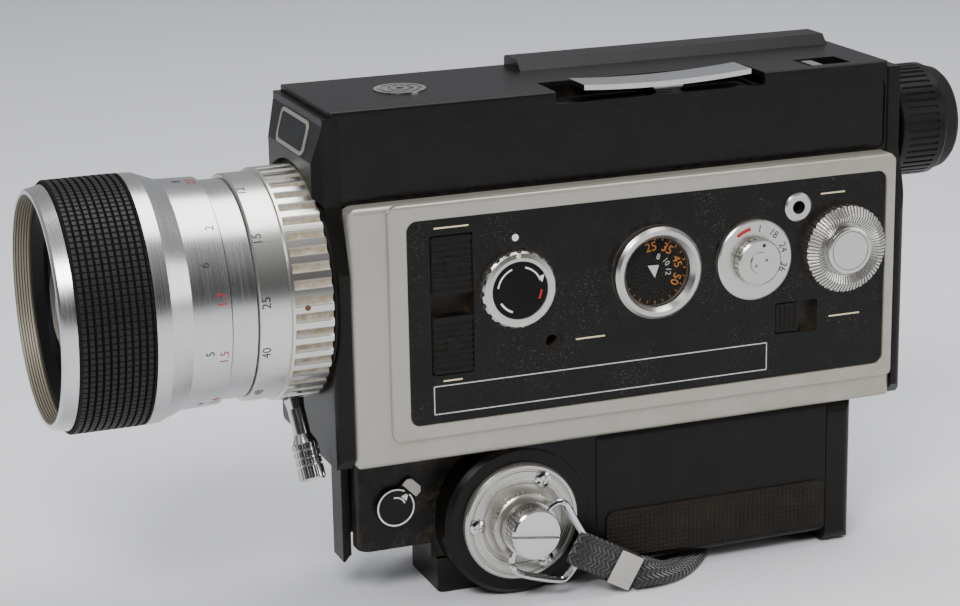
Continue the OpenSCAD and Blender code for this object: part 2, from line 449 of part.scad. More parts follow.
module viewfinder_tube() color([0.14, 0.14, 0.15]) {
  difference() { cx(-26, x1 + 0.2, 3.2, -15.2, 114.6); cx(-27, x1 - 1, 2.4, -15.2, 114.6); }
  bx(x1 + 0.1, x1 + 1.4, -18.8, -11.8, 111.2, 118);
}
// ---------- under the body ----------
module keel() color([0.1, 0.1, 0.1]) difference() {
  union() {
    rz(-31, 10, -11, 11, 3, 14.1, zb);
    bx(-12, 26, -11, 11, 30, zb);
    bx(-12, 9, -11, 11, 10, zb - 1);
    cy(px, pz, -11, 11, 17.5);
  }
  // slot that the trigger swings into
  bx(-34, -27.6, -4.8, 4.4, 0, zb + 1);
  cy(px, pz, -12, 12, bolt_r + 0.02);
  // shaft hole of the lock lever
  cy(-21.7, 25.6, -12, -4, 2.04);
  // seat of the tripod block
  bx(-10.05, 12, -12, 12, -1, 9);
}
module tripod_block() color([0.09, 0.09, 0.09]) difference() {
  rz(-10, 11.5, -11, 11, 1.5, 0, 9);
  cz(0, 0, -1, 7.5, 3.175);
}
module trigger() color([0.12, 0.12, 0.12]) {
  difference() {
    union() {
      bx(-33.5, -31.3, -4.2, 3.8, 9.6, zb + 1);
      bx(-34, -30.8, -4.2, 3.8, zb + 1, zb + 5);
    }
    translate([-33.5, -5, 9]) rotate([0, 40, 0]) cube([3, 10, 3], center = false);
  }
  cy(-32.4, zb + 3.2, -6.8, 6.8, 1.2);
}
module lock_lever() color([0.12, 0.12, 0.12]) {
  turny(-21.7, 25.6, [[-11.3, 0], [-11.3, 5.3], [-12.2, 5.3], [-12.5, 5], [-12.5, 4.5], [-12.3, 4.4], [-12.3, 0]]);
  cy(-21.7, 25.6, -11.4, -5, 2);
  translate([-21.7, 0, 25.6]) rotate([0, -45, 0]) ry(0, 8.5, -2.9, 2.9, 1.6, -11.9, -11.35);
}
module pivot_bolt() color([0.7, 0.7, 0.7]) cy(px, pz, -18.4, 18.4, bolt_r);

// ---------- folding grip ----------
module grip_shell() color([0.09, 0.09, 0.09]) difference() {
  union() {
    // two cheeks of the fork
    turny(px, pz, [[-uw, 0], [-uw, head_r - 1.2], [-uw + 1.2, head_r], [-11.4, head_r], [-11.4, 0]]);
    turny(px, pz, [[uw, 0], [uw, head_r - 1.2], [uw - 1.2, head_r], [11.4, head_r], [11.4, 0]]);
    for (s = [-1, 1]) translate([0, s > 0 ? uw - 0.4 : -11.4, 0]) rotate([90, 0, 0]) linear_extrude(uw - 11.8) polygon([[px, pz + head_r], [px + 22, 41], [px + 24, 41], [px + 24, 3.5], [px + 8, pz - 18.3]]);
    rx(-uw, uw, 3.4, 41.1, 2.6, px + 21.5, px + grip_len - 8);
    // lugs of the battery cap's hinge
    for (z = [3.9, 34.4]) {
      bx(90, px + grip_len - 8, uw - 0.2, uw + 2.4, z, z + 3.7);
      bx(px + grip_len - 8.2, px + grip_len - 4.4, uw + 0.5, uw + 2.4, z, z + 3.7);
      cz(px + grip_len - 4.4, uw + 1.9, z, z + 3.7, 1.4);
    }
  }
  // bore for the pivot bolt
  cy(px, pz, -18.5, 18.5, bolt_r + 0.05);
  // battery chamber
  rx(-15.6, 15.6, 7.4, 38, 3, px + 32, px + grip_len);
  // room for the keel
  bx(px - 30, px + 21.3, -11.4, 11.4, -2, 43);
}
module grip_pads() color([0.13, 0.1, 0.08]) for (s = [-1, 1]) ry(33, s > 0 ? 89.6 : 96.5, 6, 18.7, 2.5, s > 0 ? uw : -uw - 0.6, s > 0 ? uw + 0.6 : -uw);
module battery_cap() color([0.08, 0.08, 0.08]) difference() {
  union() {
    intersection() {
      rx(-uw + 0.1, uw, 0, 40.6, 4, px + grip_len - 7.6, px + grip_len);
      rz(px, px + grip_len, -uw + 0.1, uw, 2.4, -1, 42);
    }
    cz(px + grip_len - 4.4, uw + 1.9, 8, 34, 1.5);
    bx(px + grip_len - 5.6, px + grip_len - 3.2, uw - 2, uw + 1.9, 8, 34);
  }
  rx(-13, 13, 9, 36, 3, px + grip_len - 8, px + grip_len - 5.6);
}
module batteries() color([0.55, 0.45, 0.2]) for (y = [-7.6, 7.6], z = [15, 30.2]) {
  translate([42.2, y, z]) rotate([0, 90, 0]) cylinder(h = 49, r = 7.2);
  translate([91.1, y, z]) rotate([0, 90, 0]) cylinder(h = 1.3, r = 2.7);
}
module clutch_disc() color([0.8, 0.79, 0.76]) difference() {
  turny(px, pz, [[-uw, 0], [-uw, 15.5], [-uw - 1.3, 15.5], [-uw - 1.8, 15.1], [-uw - 1.8, 14.3], [-uw - 1.5, 14.1], [-uw - 1.5, 13.7], [-uw - 1.8, 13.5], [-uw - 1.8, 11.2], [-uw - 1.5, 11], [-uw - 1.5, 10.6], [-uw - 1.8, 10.4], [-uw - 1.8, 8.8], [-uw - 4.6, 8.8], [-uw - 5, 8.3], [-uw - 5, 6.6], [-uw - 5.7, 6], [-uw - 5.7, 3.1], [-uw - 3, 3.1], [-uw - 3, 0]]);
  for (i = [0:41]) translate([px, 0, pz]) rotate([0, i * 360 / 42, 0]) cy(8.95, 0, -uw - 5.2, -uw - 2.4, 0.34);
}
module disc_screws() color([0.8, 0.8, 0.8]) for (a = [178, 62, 300]) translate([px, 0, pz]) rotate([0, -a, 0]) difference() {
  turny(12.35, 0, [[-uw - 1.85, 0], [-uw - 1.85, 2.2], [-uw - 2.3, 2], [-uw - 2.7, 1.1], [-uw - 2.75, 0]]);
  bx(11, 13.7, -uw - 3, -uw - 2.3, -0.25, 0.25);
  bx(12.1, 12.6, -uw - 3, -uw - 2.3, -1.35, 1.35);
}
module strap_knob() color([0.83, 0.83, 0.82]) difference() {
  turny(px, pz, [[-uw - 3.1, 0], [-uw - 3.1, 3], [-uw - 7.8, 3], [-uw - 7.8, 6.6], [-uw - 11.6, 6.6], [-uw - 12, 6.2], [-uw - 12, 0]]);
  translate([px, 0, pz]) rotate([0, 8, 0]) bx(-8, 8, -uw - 13, -uw - 11.1, -0.85, 0.85);
  for (i = [0:35]) translate([px, 0, pz]) rotate([0, i * 10, 0]) cy(6.75, 0, -uw - 11.4, -uw - 7, 0.32);
}
// tube swept along points p = [x, y, z, tilt], with section q = [across, through]; tilt turns the width up from level
function unit(v) = v / norm(v);
function tang(p, i) = unit([for (k = [0:2]) p[min(i + 1, len(p) - 1)][k] - p[max(i - 1, 0)][k]]);
function side(t, a) = let (h = unit([-t[1], t[0], 0.000001]), v = unit(cross(t, h))) h * cos(a) + v * sin(a);
function ring(p, i, q) = let (t = tang(p, i), w = side(t, p[i][3]), n = cross(t, w), c = [p[i][0], p[i][1], p[i][2]]) [for (e = q) c + w * e[0] + n * e[1]];
module sweep(p, q) {
  n = len(p); m = len(q);
  polyhedron(points = [for (i = [0:n - 1]) each ring(p, i, q)],
    faces = concat([[for (j = [0:m - 1]) j]], [[for (j = [m - 1:-1:0]) (n - 1) * m + j]],
      [for (i = [0:n - 2], j = [0:m - 1]) each [[i * m + j, (i + 1) * m + j, (i + 1) * m + (j + 1) % m], [i * m + j, (i + 1) * m + (j + 1) % m, i * m + (j + 1) % m]]]), convexity = 6);
}
// points of a smooth curve through p, k steps to each span
function cr(a, b, c, d, t) = 0.5 * ((2 * b) + (c - a) * t + (2 * a - 5 * b + 4 * c - d) * t * t + (3 * b - a - 3 * c + d) * t * t * t);
function smooth(p, k) = concat([for (i = [0:len(p) - 2], j = [0:k - 1]) cr(p[max(i - 1, 0)], p[i], p[i + 1], p[min(i + 2, len(p) - 1)], j / k)], [p[len(p) - 1]]);
yw = -uw - 6.7;
// chrome wire bail round the knob's neck
bail = [[12.3, yw, 23.3, 0], [14.2, yw, 25.2, 0], [16.6, yw, 26.4, 0], [18.8, yw, 25.6, 0], [21.4, yw, 20.8, 0], [24.2, yw, 15.6, 0], [24.9, yw, 13.4, 0], [22.1, yw, 9.4, 0], [19.3, yw, 5.9, 0], [17.4, yw, 5.1, 0], [12, yw, 6.5, 0], [7, yw, 8.2, 0], [4.6, yw, 9.8, 0], [3.9, yw, 12, 0], [4.6, yw, 14.6, 0], [6.2, yw, 16.8, 0]];
module wire_loop() color([0.83, 0.83, 0.82]) {
  sweep(smooth(bail, 2), [for (i = [0:9]) 0.95 * [cos(36 * i), sin(36 * i)]]);
  difference() { cy(px, pz, -uw - 7.5, -uw - 5.8, 7.2); cy(px, pz, -uw - 8, -uw - 5, 3.2); }
}
module strap_neck() color([0.06, 0.06, 0.06]) translate([0, -25.6, 0]) rotate([90, 0, 0]) linear_extrude(4.4) polygon([[28.75, 4.6], [32.95, 11.9], [25, 14.2], [17.8, 14.6], [17, 11.6], [18.8, 5.2]]);
module strap_ferrule() color([0.7, 0.7, 0.68]) translate([33.9, -28.4, 6.3]) rotate([0, 30, 0]) bx(-3.4, 3.4, -2.3, 2.3, -4.6, 4.6);

// ---------- strap ----------
// centre line on the standing surface: out under the grip, round behind, back to the ferrule
strap_path = [[36.9, -28.4, 4.5, 62], [41.5, -28, 4.1, 46], [46.5, -26.3, 2.8, 26], [51.5, -23.2, 1.6, 10], [57, -18, 0.85, 0], [62.5, -11, 0.8, 0], [67.5, -2, 0.8, 0],
  [71.5, 8, 0.8, 0], [74.5, 19, 0.8, 0], [77, 30, 0.8, 0], [78.5, 40, 0.8, 0], [77, 50, 0.8, 0], [71, 58.5, 0.8, 0], [61, 62.3, 0.8, 0], [51, 59.5, 0.8, 0], [44, 51.5, 0.8, 0],
  [41.5, 41, 0.8, 0], [41.5, 30, 0.8, 0], [42.3, 19, 0.8, 0], [43, 8, 0.8, 0], [43, -3, 0.8, 0], [41.8, -13, 0.8, 0], [39.6, -20.5, 0.9, 0], [36.9, -26, 1.3, 0]];
module strap_band() color([0.06, 0.06, 0.06]) sweep(smooth(strap_path, 2), let (a = strap_w / 2, b = strap_t / 2) [[a, -b * 0.45], [a, b * 0.45], [a - 0.5, b], [-a + 0.5, b], [-a, b * 0.45], [-a, -b * 0.45], [-a + 0.5, -b], [a - 0.5, -b]]);

chassis();
front_casting();
badge();
side_cover();
control_panel();
upper_housing();
top_plate();
light_socket();
rear_casting();
eyepiece_tube();
diopter_ring();
eyecup();
eyepiece_lens();
lens_flange();
lens_barrel();
rear_element();
focus_barrel();
focus_rubber();
front_retainer();
front_element();
zoom_ring();
zoom_lever();
variator_cell();
zoom_rocker();
top_slider();
auto_dial();
footage_bezel();
footage_glass();
footage_dial();
speed_plate();
speed_knob();
mode_knob();
remote_jack();
backlight_button();
fade_button();
zoom_speed_switch();
film_door();
door_latch();
film_gate();
takeup_spindle();
motor();
motor_pinion();
shutter_disc();
viewfinder_tube();
keel();
tripod_block();
trigger();
lock_lever();
pivot_bolt();
grip_shell();
grip_pads();
battery_cap();
batteries();
clutch_disc();
disc_screws();
strap_knob();
wire_loop();
strap_neck();
strap_ferrule();
strap_band();
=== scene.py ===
import math
import bpy
from mathutils import Vector, Matrix


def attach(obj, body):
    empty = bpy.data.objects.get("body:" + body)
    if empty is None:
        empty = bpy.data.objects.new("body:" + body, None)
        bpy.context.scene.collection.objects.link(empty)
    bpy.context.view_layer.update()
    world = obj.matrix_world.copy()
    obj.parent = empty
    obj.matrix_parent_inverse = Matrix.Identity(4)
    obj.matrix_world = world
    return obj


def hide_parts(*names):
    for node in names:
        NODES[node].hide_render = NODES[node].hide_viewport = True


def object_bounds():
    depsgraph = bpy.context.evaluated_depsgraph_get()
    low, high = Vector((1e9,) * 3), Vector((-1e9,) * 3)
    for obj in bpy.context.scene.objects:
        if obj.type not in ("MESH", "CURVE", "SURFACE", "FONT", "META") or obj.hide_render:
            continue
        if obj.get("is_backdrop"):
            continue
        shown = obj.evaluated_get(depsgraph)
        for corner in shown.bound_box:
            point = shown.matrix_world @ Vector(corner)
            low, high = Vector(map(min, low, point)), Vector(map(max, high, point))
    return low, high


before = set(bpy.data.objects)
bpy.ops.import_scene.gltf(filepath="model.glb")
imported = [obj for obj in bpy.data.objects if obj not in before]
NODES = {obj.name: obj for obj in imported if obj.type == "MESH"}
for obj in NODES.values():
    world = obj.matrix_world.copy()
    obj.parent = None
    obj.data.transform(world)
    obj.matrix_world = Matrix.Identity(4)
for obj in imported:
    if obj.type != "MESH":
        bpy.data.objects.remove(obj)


def plain(b):
    if isinstance(b, dict):
        return {k: plain(v) for k, v in b.items()}
    if isinstance(b, (str, int, float, bool)) or b is None:
        return b
    return [plain(v) for v in b]


size = {"cad": plain(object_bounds())}
MM = 0.001
ZL = 84.9      # lens axis height
HW = 25.25     # half width of the body
UW = 20.25     # half width of the upper housing

# ------------------------------------------------------------------ camera
cam_data = bpy.data.cameras.new("cam")
cam_data.lens = 94.16
cam_data.sensor_width = 36
cam = bpy.data.objects.new("cam", cam_data)
bpy.context.scene.collection.objects.link(cam)
R, U, F = Vector((0.9333, -0.3585, -0.0180)), Vector((0.1143, 0.2494, 0.9616)), Vector((0.3403, 0.8996, -0.2738))
m = Matrix.Identity(4)
for i in range(3):
    m[i][0], m[i][1], m[i][2] = R[i], U[i], -F[i]
m.translation = Vector((-0.2128, -0.58075, 0.2498))
cam.matrix_world = m
bpy.context.scene.camera = cam


# ------------------------------------------------------------------ material helper
class Mat:
    def __init__(self, name, base=(0.5, 0.5, 0.5), rough=0.4, metal=0.0, spec=0.5, coat=0.0, coat_rough=0.05, sheen=0.0):
        self.m = bpy.data.materials.new(name)
        self.m.use_nodes = True
        self.nt = self.m.node_tree
        self.b = self.nt.nodes["Principled BSDF"]
        self.b.inputs["Base Color"].default_value = (*base, 1)
        self.b.inputs["Roughness"].default_value = rough
        self.b.inputs["Metallic"].default_value = metal
        self.b.inputs["Specular IOR Level"].default_value = spec
        self.b.inputs["Coat Weight"].default_value = coat
        self.b.inputs["Coat Roughness"].default_value = coat_rough
        self.b.inputs["Sheen Weight"].default_value = sheen
        self.base, self.rough = base, rough
        tc = self.nt.nodes.new("ShaderNodeTexCoord")
        sc = self.nt.nodes.new("ShaderNodeVectorMath")
        sc.operation = "SCALE"
        sc.inputs["Scale"].default_value = 1000.0
        self.nt.links.new(tc.outputs["Object"], sc.inputs[0])
        self.pos = sc.outputs[0]          # place in the frame, in millimetres
        self.uv = tc.outputs["UV"]
        sep = self.nt.nodes.new("ShaderNodeSeparateXYZ")
        self.nt.links.new(self.pos, sep.inputs[0])
        self.x, self.y, self.z = sep.outputs

    def put(self, sock, v):
        if hasattr(v, "links") or isinstance(v, bpy.types.NodeSocket):
            self.nt.links.new(v, sock)
        elif isinstance(v, (tuple, list)):
            sock.default_value = (*v, 1) if len(v) == 3 and len(sock.default_value) == 4 else v
        else:
            sock.default_value = v

    def math(self, op, a, b=0.0, clamp=False):
        n = self.nt.nodes.new("ShaderNodeMath")
        n.operation = op
        n.use_clamp = clamp
        self.put(n.inputs[0], a)
        self.put(n.inputs[1], b)
        return n.outputs[0]

    def vec(self, x, y, z):
        n = self.nt.nodes.new("ShaderNodeCombineXYZ")
        for s, v in zip(n.inputs, (x, y, z)):
            self.put(s, v)
        return n.outputs[0]

    def stretch(self, v, s):
        n = self.nt.nodes.new("ShaderNodeVectorMath")
        n.operation = "MULTIPLY"
        self.put(n.inputs[0], v)
        n.inputs[1].default_value = s
        return n.outputs[0]

    def noise(self, scale, detail=3.0, rough=0.5, coord=None, distort=0.0):
        n = self.nt.nodes.new("ShaderNodeTexNoise")
        self.put(n.inputs["Vector"], self.pos if coord is None else coord)
        n.inputs["Scale"].default_value = scale
        n.inputs["Detail"].default_value = detail
        n.inputs["Roughness"].default_value = rough
        n.inputs["Distortion"].default_value = distort
        return n.outputs["Fac"]

    def ramp(self, v, lo, hi, a=0.0, b=1.0):
        n = self.nt.nodes.new("ShaderNodeMapRange")
        n.clamp = True
        self.put(n.inputs["Value"], v)
        n.inputs["From Min"].default_value = lo
        n.inputs["From Max"].default_value = hi
        n.inputs["To Min"].default_value = a
        n.inputs["To Max"].default_value = b
        return n.outputs["Result"]

    def mix(self, fac, a, b):
        n = self.nt.nodes.new("ShaderNodeMix")
        n.data_type = "RGBA"
        self.put(n.inputs[0], fac)
        self.put(n.inputs[6], a)
        self.put(n.inputs[7], b)
        return n.outputs[2]

    def mixf(self, fac, a, b):
        n = self.nt.nodes.new("ShaderNodeMix")
        n.data_type = "FLOAT"
        self.put(n.inputs[0], fac)
        self.put(n.inputs[2], a)
        self.put(n.inputs[3], b)
        return n.outputs[0]

    def ao(self, dist=0.004):
        n = self.nt.nodes.new("ShaderNodeAmbientOcclusion")
        n.samples = 6
        n.only_local = False
        n.inputs["Distance"].default_value = dist
        return n.outputs["AO"]

    def color(self, v):
        self.put(self.b.inputs["Base Color"], v)
        return self

    def roughness(self, v):
        self.put(self.b.inputs["Roughness"], v)
        return self

    def metallic(self, v):
        self.put(self.b.inputs["Metallic"], v)
        return self

    def bump(self, h, strength=0.3, dist=0.0002):
        n = self.nt.nodes.new("ShaderNodeBump")
        n.inputs["Strength"].default_value = strength
        n.inputs["Distance"].default_value = dist
        self.put(n.inputs["Height"], h)
        prev = self.b.inputs["Normal"].links
        if prev:
            self.nt.links.new(prev[0].from_socket, n.inputs["Normal"])
        self.nt.links.new(n.outputs[0], self.b.inputs["Normal"])
        return self

    def bevel(self, r):
        n = self.nt.nodes.new("ShaderNodeBevel")
        n.samples = 4
        n.inputs["Radius"].default_value = r
        self.nt.links.new(n.outputs[0], self.b.inputs["Normal"])
        return self

    def radius(self, y0=0.0, z0=ZL, a="y"):
        p, q = (self.math("SUBTRACT", self.y if a == "y" else self.x, y0), self.math("SUBTRACT", self.z, z0))
        return self.math("SQRT", self.math("ADD", self.math("MULTIPLY", p, p), self.math("MULTIPLY", q, q)))

    def angle(self, y0=0.0, z0=ZL, a="y"):
        p, q = (self.math("SUBTRACT", self.y if a == "y" else self.x, y0), self.math("SUBTRACT", self.z, z0))
        return self.math("ARCTAN2", q, p)


DUST = (0.17, 0.125, 0.080)
DUST_D = (0.060, 0.046, 0.033)


def dust_and_corner_shade(M, base, amount=1.0, dist=0.004, dust_and_shade=DUST, rough=0.4, keep_metal=None, low=0.30, high=0.85):
    """base colour mixed towards a brown colour in occluded corners and in a thin uneven film: real dust on black parts,
    painted shade as well as dust on light paint and metal
    """
    # painted shade: occlusion marks the corners, and on light parts the mix darkens them
    occ = M.math("SUBTRACT", 1.0, M.ao(dist))
    n = M.noise(0.35, 5, 0.65)
    n2 = M.noise(2.6, 4, 0.7)
    mask = M.math("MULTIPLY", M.math("ADD", occ, M.math("MULTIPLY", M.math("SUBTRACT", n, 0.5), 0.7)), M.ramp(n2, 0.25, 0.6, 0.55, 1.0))
    mask = M.ramp(mask, low, high, 0.0, amount)
    M.color(M.mix(mask, base, dust_and_shade))
    M.roughness(M.mixf(mask, rough, 0.85))
    if keep_metal is not None:
        M.metallic(M.mixf(mask, keep_metal, 0.0))
    return mask


# silver paint of the cover and the door
def silver(name, tint=(0.40, 0.385, 0.34), edge=True):
    M = Mat(name, tint, 0.33, 0.85)
    M.bevel(0.00045)
    fleck = M.noise(9.0, 2, 0.6)
    patch = M.noise(0.06, 4, 0.6)
    base = M.mix(M.ramp(fleck, 0.35, 0.65, 0.0, 0.22), tint, tuple(c * 0.82 for c in tint))
    base = M.mix(M.ramp(patch, 0.42, 0.68, 0.0, 0.5), base, (0.35, 0.325, 0.27))
    # darker and yellower towards the rear and the lower rim
    side = M.math("ADD", M.ramp(M.x, 20, 118, 0, 0.35), M.ramp(M.z, 60, 42, 0, 0.25))
    base = M.mix(M.math("MULTIPLY", side, M.ramp(M.noise(0.2, 5, 0.7), 0.3, 0.65)), base, (0.29, 0.255, 0.185))
    # painted shade: occluded corners darkened towards brown, together with dust
    dust_and_corner_shade(M, base, 0.8, 0.0035, (0.30, 0.22, 0.13), 0.36, 0.55, 0.34, 0.95)
    M.bump(M.noise(5.0, 3, 0.6), 0.12, 0.0001)
    return M.m


# black casting: satin, with dust
def casting(name, base=(0.0035, 0.0033, 0.0030), rough=0.36, amount=0.75, low=0.36, high=1.0, spec=0.20):
    M = Mat(name, base, rough, 0.0, spec=spec)
    M.bevel(0.0004)
    film = M.mix(M.ramp(M.noise(0.09, 5, 0.65), 0.5, 0.8, 0.0, 0.10), base, (0.05, 0.038, 0.028))
    dust_and_corner_shade(M, film, amount, 0.005, DUST_D, rough, None, low, high)
    M.bump(M.noise(7.0, 3, 0.6), 0.18, 0.0001)
    return M.m


def keel_material():
    M = Mat("keel_dusty", (0.0035, 0.0032, 0.003), 0.42, 0.0, spec=0.22)
    M.bevel(0.0004)
    occ = M.math("SUBTRACT", 1.0, M.ao(0.007))
    patch = M.math("MULTIPLY", M.ramp(M.noise(0.10, 5, 0.68), 0.46, 0.66), M.ramp(M.noise(1.6, 4, 0.75), 0.35, 0.62))
    mask = M.math("ADD", M.math("MULTIPLY", patch, 0.55), M.ramp(M.math("MULTIPLY", occ, M.ramp(M.noise(0.9, 4, 0.7), 0.2, 0.6)), 0.25, 0.9, 0, 0.7), True)
    M.color(M.mix(mask, (0.0035, 0.0032, 0.003), (0.105, 0.075, 0.045)))
    M.roughness(M.mixf(mask, 0.4, 0.9))
    M.bump(M.noise(6.0, 3, 0.6), 0.15, 0.0001)
    return M.m


def gloss(name, base=(0.0018, 0.0018, 0.0020), rough=0.12, amount=0.8, speck=0.5, low=0.40, high=1.0):
    M = Mat(name, base, rough, 0.0, spec=0.22)
    sp = M.math("MULTIPLY", M.ramp(M.noise(3.8, 2, 0.5), 0.66, 0.72), M.ramp(M.noise(0.10, 3, 0.6), 0.42, 0.62, 0.0, speck))
    col = M.mix(sp, base, (0.22, 0.17, 0.11))
    m = dust_and_corner_shade(M, col, amount, 0.006, DUST_D, rough, None, low, high)
    M.roughness(M.mixf(m, M.ramp(M.noise(0.12, 4, 0.6), 0.3, 0.75, rough, rough + 0.16), 0.9))
    return M.m


def metal(name, base=(0.62, 0.615, 0.60), rough=0.27, turned=None, dust_and_shade=0.6, low=0.36, high=1.0, dd=(0.24, 0.17, 0.09), fine=14.0):
    """brushed satin metal; turned = lens gives rings round the lens, dial gives rings round a dial at (x, z)"""
    M = Mat(name, base, rough, 1.0)
    if turned == "lens":
        c = M.vec(M.math("MULTIPLY", M.x, fine * 0.35), M.math("MULTIPLY", M.angle(), 0.6), 0.0)
    elif turned:
        c = M.vec(M.math("MULTIPLY", M.radius(turned[0], turned[1], "x"), fine * 0.5), 0.0, 0.0)
    else:
        c = M.stretch(M.pos, (0.6, fine, fine))
    line = M.noise(1.0, 3, 0.7, c)
    col = M.mix(M.ramp(line, 0.3, 0.7, 0.0, 0.25), base, tuple(v * 0.78 for v in base))
    col = M.mix(M.ramp(M.noise(0.12, 4, 0.6), 0.45, 0.75, 0, 0.3), col, (0.50, 0.465, 0.39))
    # painted shade: occluded corners darkened towards the brown dust colour, together with dust
    mask = dust_and_corner_shade(M, col, dust_and_shade, 0.0025, dd, rough, 1.0, low, high)
    M.roughness(M.mixf(mask, M.ramp(line, 0.2, 0.8, rough - 0.05, rough + 0.09), 0.85))
    M.bump(line, 0.05, 0.00005)
    return M.m


mats = {}
mats["silver"] = silver("silver_paint")
mats["casting"] = casting("black_casting")
mats["gloss"] = gloss("gloss_black")
mats["panel"] = gloss("panel_black", (0.0020, 0.0019, 0.0018), 0.22, 1.0, 0.9, 0.22, 0.8)
mats["lens_metal"] = metal("lens_metal", (0.60, 0.60, 0.595), 0.24, "lens", 0.35)


def focus_metal():
    M = Mat("focus_metal", (0.60, 0.60, 0.595), 0.24, 1.0)
    line = M.noise(1.0, 3, 0.7, M.vec(M.math("MULTIPLY", M.x, 5.0), M.math("MULTIPLY", M.angle(), 0.6), 0.0))
    col = M.mix(M.ramp(line, 0.3, 0.7, 0.0, 0.25), (0.60, 0.60, 0.595), (0.47, 0.47, 0.465))
    col = M.mix(M.ramp(M.noise(0.12, 4, 0.6), 0.45, 0.75, 0, 0.3), col, (0.46, 0.43, 0.36))
    # grey turned band between two bright ones, and the worn thread inside the rim, its grooves painted dark as painted
    # shade
    inside = M.math("MULTIPLY", M.ramp(M.radius(), 28.0, 27.8), M.ramp(M.x, -102.0, -103.0))
    thread = M.math("FRACT", M.math("MULTIPLY", M.x, 1.5))
    th = M.mix(M.ramp(thread, 0.25, 0.6), (0.05, 0.042, 0.03), (0.42, 0.38, 0.30))
    # painted shade: occluded corners darkened towards brown
    occ = M.ramp(M.math("SUBTRACT", 1.0, M.ao(0.0025)), 0.4, 1.0, 0, 0.5)
    M.color(M.mix(inside, M.mix(occ, col, (0.24, 0.17, 0.09)), th))
    M.roughness(M.mixf(inside, M.ramp(line, 0.2, 0.8, 0.19, 0.33), 0.5))
    M.metallic(M.mixf(inside, 1.0, 0.5))
    M.bump(line, 0.05, 0.00005)
    return M.m


mats["focus_metal"] = focus_metal()
mats["chrome"] = metal("bright_chrome", (0.62, 0.62, 0.61), 0.12, None, 0.8, 0.35, 0.95)
mats["top_chrome"] = metal("rocker_chrome", (0.62, 0.62, 0.61), 0.18, None, 0.2)
mats["steel"] = metal("machined_steel", (0.50, 0.50, 0.50), 0.3, None, 0.2)
mats["ferrule"] = metal("ferrule_plate", (0.55, 0.53, 0.49), 0.3, None, 0.5)
mats["plastic"] = casting("black_plastic", (0.003, 0.003, 0.003), 0.36, 0.5)
mats["key"] = casting("key_black", (0.003, 0.0028, 0.0026), 0.34, 1.0, 0.30, 0.95)
mats["keel"] = keel_material()
mats["under"] = casting("keel_black", (0.0035, 0.0032, 0.003), 0.42, 1.0, 0.28, 0.9)
mats["cover_brown"] = casting("grip_black", (0.003, 0.0028, 0.0026), 0.34, 0.8, 0.34, 1.0)

for nm, c in (("auto", (6.86, 83.57)), ("footage", (44.28, 83.79)), ("speed", (71.77, 83.8)), ("mode", (97.2, 84.3)), ("jack", (84.3, 96.2)), ("disc", (9.0, 20.3)), ("socket", (-13.4, 0))):
    mats["m_" + nm] = metal("metal_" + nm, (0.55, 0.54, 0.515), 0.25, c, 0.75, 0.30, 0.9)


def mode_material():
    M = Mat("mode_wheel", (0.60, 0.59, 0.565), 0.26, 1.0)
    M.bevel(0.0002)
    r = M.radius(97.2, 84.3, "x")
    an = M.angle(97.2, 84.3, "x")
    t = M.math("ABSOLUTE", M.math("SUBTRACT", M.math("FRACT", M.math("MULTIPLY", an, 72 / (2 * math.pi))), 0.5))
    zone = M.math("MULTIPLY", M.ramp(r, 6.9, 7.1), M.ramp(r, 11.6, 11.3))
    groove = M.math("MULTIPLY", M.ramp(t, 0.20, 0.40), zone)
    ring = M.noise(1.0, 3, 0.7, M.vec(M.math("MULTIPLY", r, 7.0), 0.0, 0.0))
    col = M.mix(M.ramp(ring, 0.3, 0.7, 0, 0.3), (0.58, 0.57, 0.54), (0.42, 0.41, 0.385))
    # painted shade: the flutes and the occluded corners are painted dark brown
    occ = M.ramp(M.math("SUBTRACT", 1.0, M.ao(0.0025)), 0.3, 0.9, 0, 0.8)
    M.color(M.mix(M.math("MAXIMUM", M.math("MULTIPLY", groove, 0.85), occ), col, (0.10, 0.085, 0.06)))
    M.roughness(M.mixf(groove, 0.27, 0.6))
    M.bump(M.math("SUBTRACT", 1.0, groove), 0.6, 0.0003)
    return M.m


def disc_material():
    M = Mat("clutch_disc_metal", (0.55, 0.54, 0.51), 0.27, 1.0)
    r = M.radius(9.0, 20.3, "x")
    ring = M.noise(1.0, 3, 0.75, M.vec(M.math("MULTIPLY", r, 2.2), 0.0, 0.0))
    smear = M.ramp(M.noise(0.25, 5, 0.7), 0.4, 0.65, 0.15, 0.85)
    dirt_and_shade = M.math("MULTIPLY", M.ramp(ring, 0.50, 0.62), smear)
    # painted shade: occluded corners darkened towards brown, on top of the dirt rings
    occ = M.ramp(M.math("SUBTRACT", 1.0, M.ao(0.004)), 0.25, 0.85, 0, 0.9)
    mask = M.math("MAXIMUM", M.math("MULTIPLY", dirt_and_shade, 0.65), occ)
    M.color(M.mix(mask, (0.52, 0.51, 0.48), (0.17, 0.125, 0.07)))
    M.roughness(M.mixf(mask, 0.26, 0.75))
    M.metallic(M.mixf(mask, 1.0, 0.15))
    M.bump(ring, 0.10, 0.0001)
    return M.m


